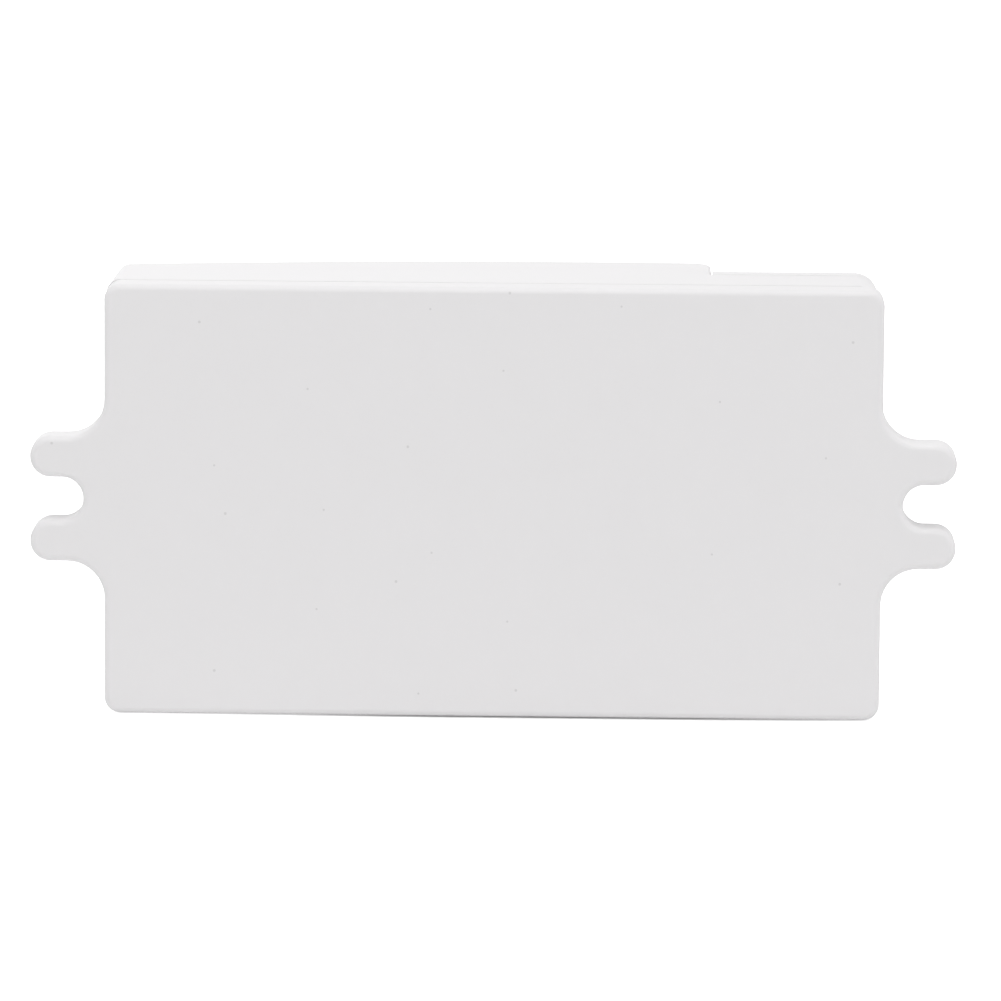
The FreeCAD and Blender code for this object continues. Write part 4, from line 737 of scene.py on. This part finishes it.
def sleeved_can(node, sleeve, stripe, can):
    """An aluminium can in a shrunk sleeve, with a crimp, a scored top and a polarity stripe."""
    low, high = corners(node)
    centre = Vector(((low.x + high.x) / 2, low.y, (low.z + high.z) / 2))
    radius, tall = (high.x - low.x) / 2, high.y - low.y
    lid, sunk = radius * 0.84, tall - 0.2
    foot = [(0, 0), (radius - 0.5, 0), (radius - 0.12, 0.12), (radius, 0.45)]
    crimp = [(radius, 1.1), (radius - 0.2, 1.45), (radius - 0.2, 1.6), (radius, 1.95)]
    shoulder = [(radius, tall - 0.5), (radius - 0.14, tall - 0.14), (radius - 0.5, tall), (lid, tall)]
    shape = bmesh.new()
    turned(shape, foot + crimp + shoulder + [(lid, sunk), (0, sunk)], centre, steps=48)
    finished(f"{node}_sleeve", shape, sleeve, smooth=50, stands_for=(node,))
    plate = sunk + LID_SHEET
    shape = bmesh.new()
    turned(shape, [(0, sunk), (lid, sunk), (lid, plate), (0, plate)], centre, steps=48)
    for quarter in range(4):
        hoop(shape, 0.3, lid - 0.12, plate, plate + LID_SHEET, centre, steps=12, angle=90 - SCORE_TURN,
             start=quarter * 90 + SCORE_TURN / 2)
    close_ends(shape)
    finished(f"{node}_lid", shape, can)
    shape = bmesh.new()
    hoop(shape, radius - 0.02, radius + 0.03, 2.2, tall - 0.7, centre, steps=12, angle=STRIPE_TURN,
         start=180 - STRIPE_TURN / 2)
    close_ends(shape)
    finished(f"{node}_stripe", shape, stripe)
    shape = bmesh.new()
    for step in range(3):
        reach = 2.9 + step * (tall - 4.6) / 2.6
        hoop(shape, radius, radius + 0.045, reach, reach + 1.1, centre, steps=4, angle=MINUS_TURN,
             start=180 - MINUS_TURN / 2)
    close_ends(shape)
    finished(f"{node}_minus_marks", shape, sleeve, smooth=None)


def chip_row(node, body, ends, film=None):
    """Small surface-mounted parts: a ceramic body with tinned ends, and a film on top where given."""
    bodies, caps, films = bmesh.new(), bmesh.new(), bmesh.new()
    for low, high in solids_of(node):
        block(bodies, (low.x, low.y, low.z + 0.1), (high.x, high.y - 0.03, high.z - 0.1),
              bevel=0.03, segments=1)
        for near, far in ((low.z, low.z + CHIP_END), (high.z - CHIP_END, high.z)):
            block(caps, (low.x - 0.02, low.y, near), (high.x + 0.02, high.y, far), bevel=0.06)
        if film:
            clear = CHIP_END + 0.02
            block(films, (low.x + 0.04, high.y - 0.04, low.z + clear),
                  (high.x - 0.04, high.y - 0.01, high.z - clear))
    stem = node.rstrip("s")
    finished(f"{stem}_bodies", bodies, body, smooth=None, stands_for=(node,))
    finished(f"{stem}_ends", caps, ends)
    if film:
        finished(f"{stem}_films", films, film, smooth=None)
    else:
        films.free()


class SENSOR_OT_small_parts(bpy.types.Operator):
    """Chips, transistors, resistors, diodes, the varistor, the lamps and the light guide"""
    bl_idname = "sensor.small_parts"
    bl_label = "Small parts"

    def execute(self, context):
        black = moulded_plastic("black_epoxy", (0.025, 0.025, 0.027), rough=0.5, grain=0.000004,
                                mottle=0.12)
        white = moulded_plastic("white_ceramic", (0.70, 0.70, 0.66), rough=0.5, mottle=0.03)
        ink = moulded_plastic("polarity_ink", (0.72, 0.72, 0.70), rough=0.5, mottle=0.04)
        tin = metal("tinned_leg", (0.70, 0.70, 0.71), rough=0.3)
        dress(black, "voltage_regulator", "driver_transistor", "oscillator_transistor", "amplifier_chip")
        chip_row("chip_resistors", white, tin, film=black)
        controller(black, ink, tin)
        diodes(black, ink)
        varistor()
        fuse_resistor()
        lamps(tin)
        return {"FINISHED"}


def controller(black, ink, tin):
    """The controller's body, the mark at its first pin, and its bent legs."""
    low, high = corners("controller_chip")
    shape = bmesh.new()
    block(shape, low, high, bevel=0.14)
    finished("controller_body", shape, black, stands_for=("controller_chip",))
    shape = bmesh.new()
    turned(shape, [(0, 0), (0.34, 0), (0.34, INK), (0, INK)], (low.x + 0.9, high.y, low.z + 0.9), steps=20)
    finished("controller_first_pin_mark", shape, ink, smooth=None)
    shape = bmesh.new()
    for foot in solids_of("controller_legs"):
        gull_leg(shape, *foot, middle((low, high)))
    finished("controller_gull_legs", shape, tin, stands_for=("controller_legs",))


def gull_leg(shape, low, high, chip):
    """A leg in the place of a packed one: out of the chip's waist, down, and flat on the board."""
    side = 1 if (low.z + high.z) / 2 > chip.z else -1
    near, far = (low.z, high.z) if side > 0 else (high.z, low.z)
    thick = high.y - low.y
    under, over = chip.y - thick / 2, chip.y + thick / 2
    bend = near + side * 0.3
    outer = bend + side * thick
    for start, end, floor, roof in ((near - side * 0.05, outer, under, over), (bend, outer, low.y, over),
                                    (bend, far, low.y, high.y)):
        block(shape, (low.x, floor, min(start, end)), (high.x, roof, max(start, end)),
              bevel=0.05, segments=1)


def diodes(black, ink):
    """The four diodes, with a band at the cathode end of each."""
    bodies, bands = bmesh.new(), bmesh.new()
    for low, high in solids_of("rectifier_diodes"):
        block(bodies, low, high, bevel=0.16)
        block(bands, (low.x - 0.015, low.y + 0.4, high.z - 0.95),
              (high.x + 0.015, high.y + 0.02, high.z - 0.5), bevel=0.12)
    finished("diode_bodies", bodies, black, stands_for=("rectifier_diodes",))
    finished("diode_bands", bands, ink)


def varistor():
    """A dipped disc with soft edges."""
    blue = moulded_plastic("blue_dipped_coat", (0.03, 0.14, 0.44), rough=0.28, grain=0.00001, mottle=0.08)
    low, high = corners("varistor")
    half, radius = (high.x - low.x) / 2, (high.y - low.y) / 2
    arc = [math.radians(angle) for angle in range(0, 181, 15)]
    profile = [(radius - half * 0.75 * (1 - math.sin(angle)), -half * math.cos(angle)) for angle in arc]
    shape = bmesh.new()
    turned(shape, [(0, -half), *profile, (0, half)], (low + high) / 2, axis="x", steps=48)
    finished("varistor_disc", shape, blue, smooth=50, stands_for=("varistor",))


def fuse_resistor():
    """A barrel with raised ends and four colour rings."""
    green = moulded_plastic("green_enamel", (0.08, 0.30, 0.16), rough=0.35, mottle=0.06)
    low, high = corners("fuse_resistor")
    centre, half, radius = (low + high) / 2, (high.x - low.x) / 2, (high.y - low.y) / 2
    waist = radius * 0.86
    left = [(0, -half), (radius * 0.7, -half), (radius * 0.93, -half + 0.15), (radius, -half + 0.5),
            (radius, -half + 1.3), (radius * 0.95, -half + 1.7), (waist, -half + 2.1)]
    right = [(across, -along) for across, along in reversed(left)]
    shape = bmesh.new()
    turned(shape, left + right, centre, axis="x", steps=40)
    finished("fuse_resistor_barrel", shape, green, smooth=50, stands_for=("fuse_resistor",))
    for index, (word, colour) in enumerate(RING_ENAMELS):
        enamel = moulded_plastic(f"{word}_ring_enamel", colour, rough=0.35, mottle=0.06)
        start = FIRST_RING + index * RING_PITCH
        shape = bmesh.new()
        hoop(shape, waist - 0.05, waist + 0.03, start, start + RING_WIDTH, centre, axis="x", steps=40)
        finished(f"fuse_ring_{index + 1}", shape, enamel, smooth=50)


def lamps(tin):
    """The clear guide, the light sensor and the red lamp, with the posts inside their domes."""
    dress(clear_plastic("clear_guide", (0.86, 0.88, 0.90), rough=0.12, alpha=0.45), "light_guide")
    dress(clear_plastic("smoked_lens", (0.05, 0.05, 0.06), rough=0.1, alpha=0.75), "light_sensor")
    dress(clear_plastic("red_lens", (0.62, 0.03, 0.02), rough=0.12, alpha=0.6), "indicator_led")
    for node in ("light_sensor", "indicator_led"):
        low, high = corners(node)
        centre, tall = (low + high) / 2, high.y - low.y
        shape = bmesh.new()
        for side, share in ((-1, 0.62), (1, 0.5)):
            post = centre.z + side * 0.55
            block(shape, (centre.x - 0.25, low.y + 0.1, post - 0.35 + 0.1 * side),
                  (centre.x + 0.25, low.y + tall * share, post + 0.35 + 0.1 * side), bevel=0.08)
        cup = [(0.0, 0.0), (0.42, 0.0), (0.55, 0.45), (0.48, 0.45), (0.36, 0.12), (0.0, 0.12)]
        turned(shape, cup, (centre.x, low.y + tall * 0.62, centre.z - 0.55), steps=20)
        finished(f"{node}_posts", shape, tin)


class SENSOR_OT_stage(bpy.types.Operator):
    """Set the floor, the light and the camera"""
    bl_idname = "sensor.stage"
    bl_label = "Stage"

    def execute(self, context):
        scene = context.scene
        scene.view_settings.view_transform = "Standard"
        white_floor(scene)
        white_world(scene)
        for name, place, power in LAMPS:
            lamp(scene, name, place, power)
        camera(scene)
        return {"FINISHED"}


def white_floor(scene):
    floor = bpy.data.meshes.new("floor")
    shape = bmesh.new()
    bmesh.ops.create_grid(shape, x_segments=1, y_segments=1, size=FLOOR_REACH)
    bmesh.ops.translate(shape, vec=(0, 0, CAD_BOX[0][2] - FLOOR_DROP), verts=shape.verts[:])
    shape.to_mesh(floor)
    shape.free()
    floor.materials.append(floor_finish())
    ground = bpy.data.objects.new("floor", floor)
    scene.collection.objects.link(ground)


def seen_directly(nodes):
    """1 where the camera, a mirror or a glass looks straight at the surface."""
    path = nodes.add("ShaderNodeLightPath", out="Is Camera Ray")
    return path | path.output("Is Glossy Ray") | path.output("Is Transmission Ray")


def floor_finish():
    """A matte white floor that keeps the real contact shadow, with its camera-seen glow dimmed near the
    sensor as a painted contact shadow, and plain white further off.
    """
    material = bpy.data.materials.new("floor_white")
    nodes = Nodes(material)
    nodes.tree.nodes.clear()
    under = nodes.place(scale=SHADOW_STRETCH, shift=SHADOW_PLACE)
    far = nodes.add("ShaderNodeVectorMath", {"operation": "LENGTH"}, {0: under}, out="Value")
    # Painted shadow: the glow is low near the sensor and rises to full glow further off
    painted_shadow_fade = nodes.add("ShaderNodeMapRange", {"interpolation_type": "SMOOTHSTEP"},
                     {"Value": far, "From Min": SHADOW_INNER, "From Max": SHADOW_OUTER,
                      "To Min": SHADOW_GLOW, "To Max": 1.0})
    matte = nodes.add("ShaderNodeBsdfDiffuse", {}, {"Color": FLOOR_WHITE})
    glow = nodes.add("ShaderNodeEmission", {}, {"Strength": FLOOR_GLOW})
    both = nodes.add("ShaderNodeAddShader", {}, {0: matte, 1: glow})
    mix = nodes.add("ShaderNodeMixShader", {}, {0: seen_directly(nodes) * painted_shadow_fade, 1: matte, 2: both})
    nodes.add("ShaderNodeOutputMaterial", {}, {"Surface": mix})
    return material


def white_world(scene):
    """A plain room light, and a white backdrop where the camera looks past the sensor."""
    scene.world = bpy.data.worlds.new("studio")
    nodes = Nodes(scene.world)
    nodes.tree.nodes.clear()
    room, backdrop = (nodes.add("ShaderNodeBackground", {}, {"Color": PLAIN_WHITE, "Strength": strength})
                      for strength in (ROOM_LIGHT, BACKDROP))
    mix = nodes.add("ShaderNodeMixShader", {}, {0: seen_directly(nodes), 1: room, 2: backdrop})
    nodes.add("ShaderNodeOutputWorld", {}, {"Surface": mix})


def lamp(scene, name, place, power):
    """A soft disc lamp that faces the sensor."""
    data = bpy.data.lights.new(name, "AREA")
    data.shape = "DISK"
    data.size = LAMP_SIZE
    data.energy = power
    light = bpy.data.objects.new(name, data)
    light.location = place
    light.rotation_euler = (Vector(LAMP_AIM) - Vector(place)).to_track_quat("-Z", "Y").to_euler()
    scene.collection.objects.link(light)


def camera(scene):
    """The photograph's view: from behind, a little above and to the right, and slightly tilted."""
    data = bpy.data.cameras.new("camera")
    data.sensor_width = VIEW_SENSOR
    data.lens = VIEW_LENS
    data.clip_start, data.clip_end = VIEW_CLIP
    view = bpy.data.objects.new("camera", data)
    azimuth, elevation, roll = (math.radians(angle) for angle in VIEW_ANGLES)
    back = Vector((math.sin(azimuth) * math.cos(elevation), -math.cos(azimuth) * math.cos(elevation),
                   math.sin(elevation)))
    view.location = Vector(VIEW_AIM) + back * VIEW_DISTANCE
    turn = (-back).to_track_quat("-Z", "Y").to_matrix() @ Matrix.Rotation(roll, 3, "Z")
    view.rotation_euler = turn.to_euler()
    scene.collection.objects.link(view)
    scene.camera = view


class SENSOR_PT_panel(bpy.types.Panel):
    """The sensor's pieces, one button each"""
    bl_idname = "SENSOR_PT_panel"
    bl_label = "Motion sensor"
    bl_space_type = "VIEW_3D"
    bl_region_type = "UI"
    bl_category = "Motion sensor"

    def draw(self, context):
        for settings in (context.scene.sensor_colours, context.scene.sensor_sizes):
            for name in settings.__annotations__:
                self.layout.prop(settings, name)
        for piece in PIECES:
            self.layout.operator(piece.bl_idname)


PIECES = (SENSOR_OT_case, SENSOR_OT_adjusters, SENSOR_OT_terminals, SENSOR_OT_boards, SENSOR_OT_solder,
          SENSOR_OT_relay, SENSOR_OT_capacitors, SENSOR_OT_small_parts, SENSOR_OT_stage)
CLASSES = (SensorColours, SensorSizes, *PIECES, SENSOR_PT_panel)


def register():
    for made in CLASSES:
        bpy.utils.register_class(made)
    bpy.types.Scene.sensor_colours = bpy.props.PointerProperty(type=SensorColours)
    bpy.types.Scene.sensor_sizes = bpy.props.PointerProperty(type=SensorSizes)


def unregister():
    del bpy.types.Scene.sensor_sizes
    del bpy.types.Scene.sensor_colours
    for made in reversed(CLASSES):
        bpy.utils.unregister_class(made)


def main():
    register()
    for piece in PIECES:
        group, name = piece.bl_idname.split(".")
        getattr(getattr(bpy.ops, group), name)()


if __name__ == "__main__":
    main()
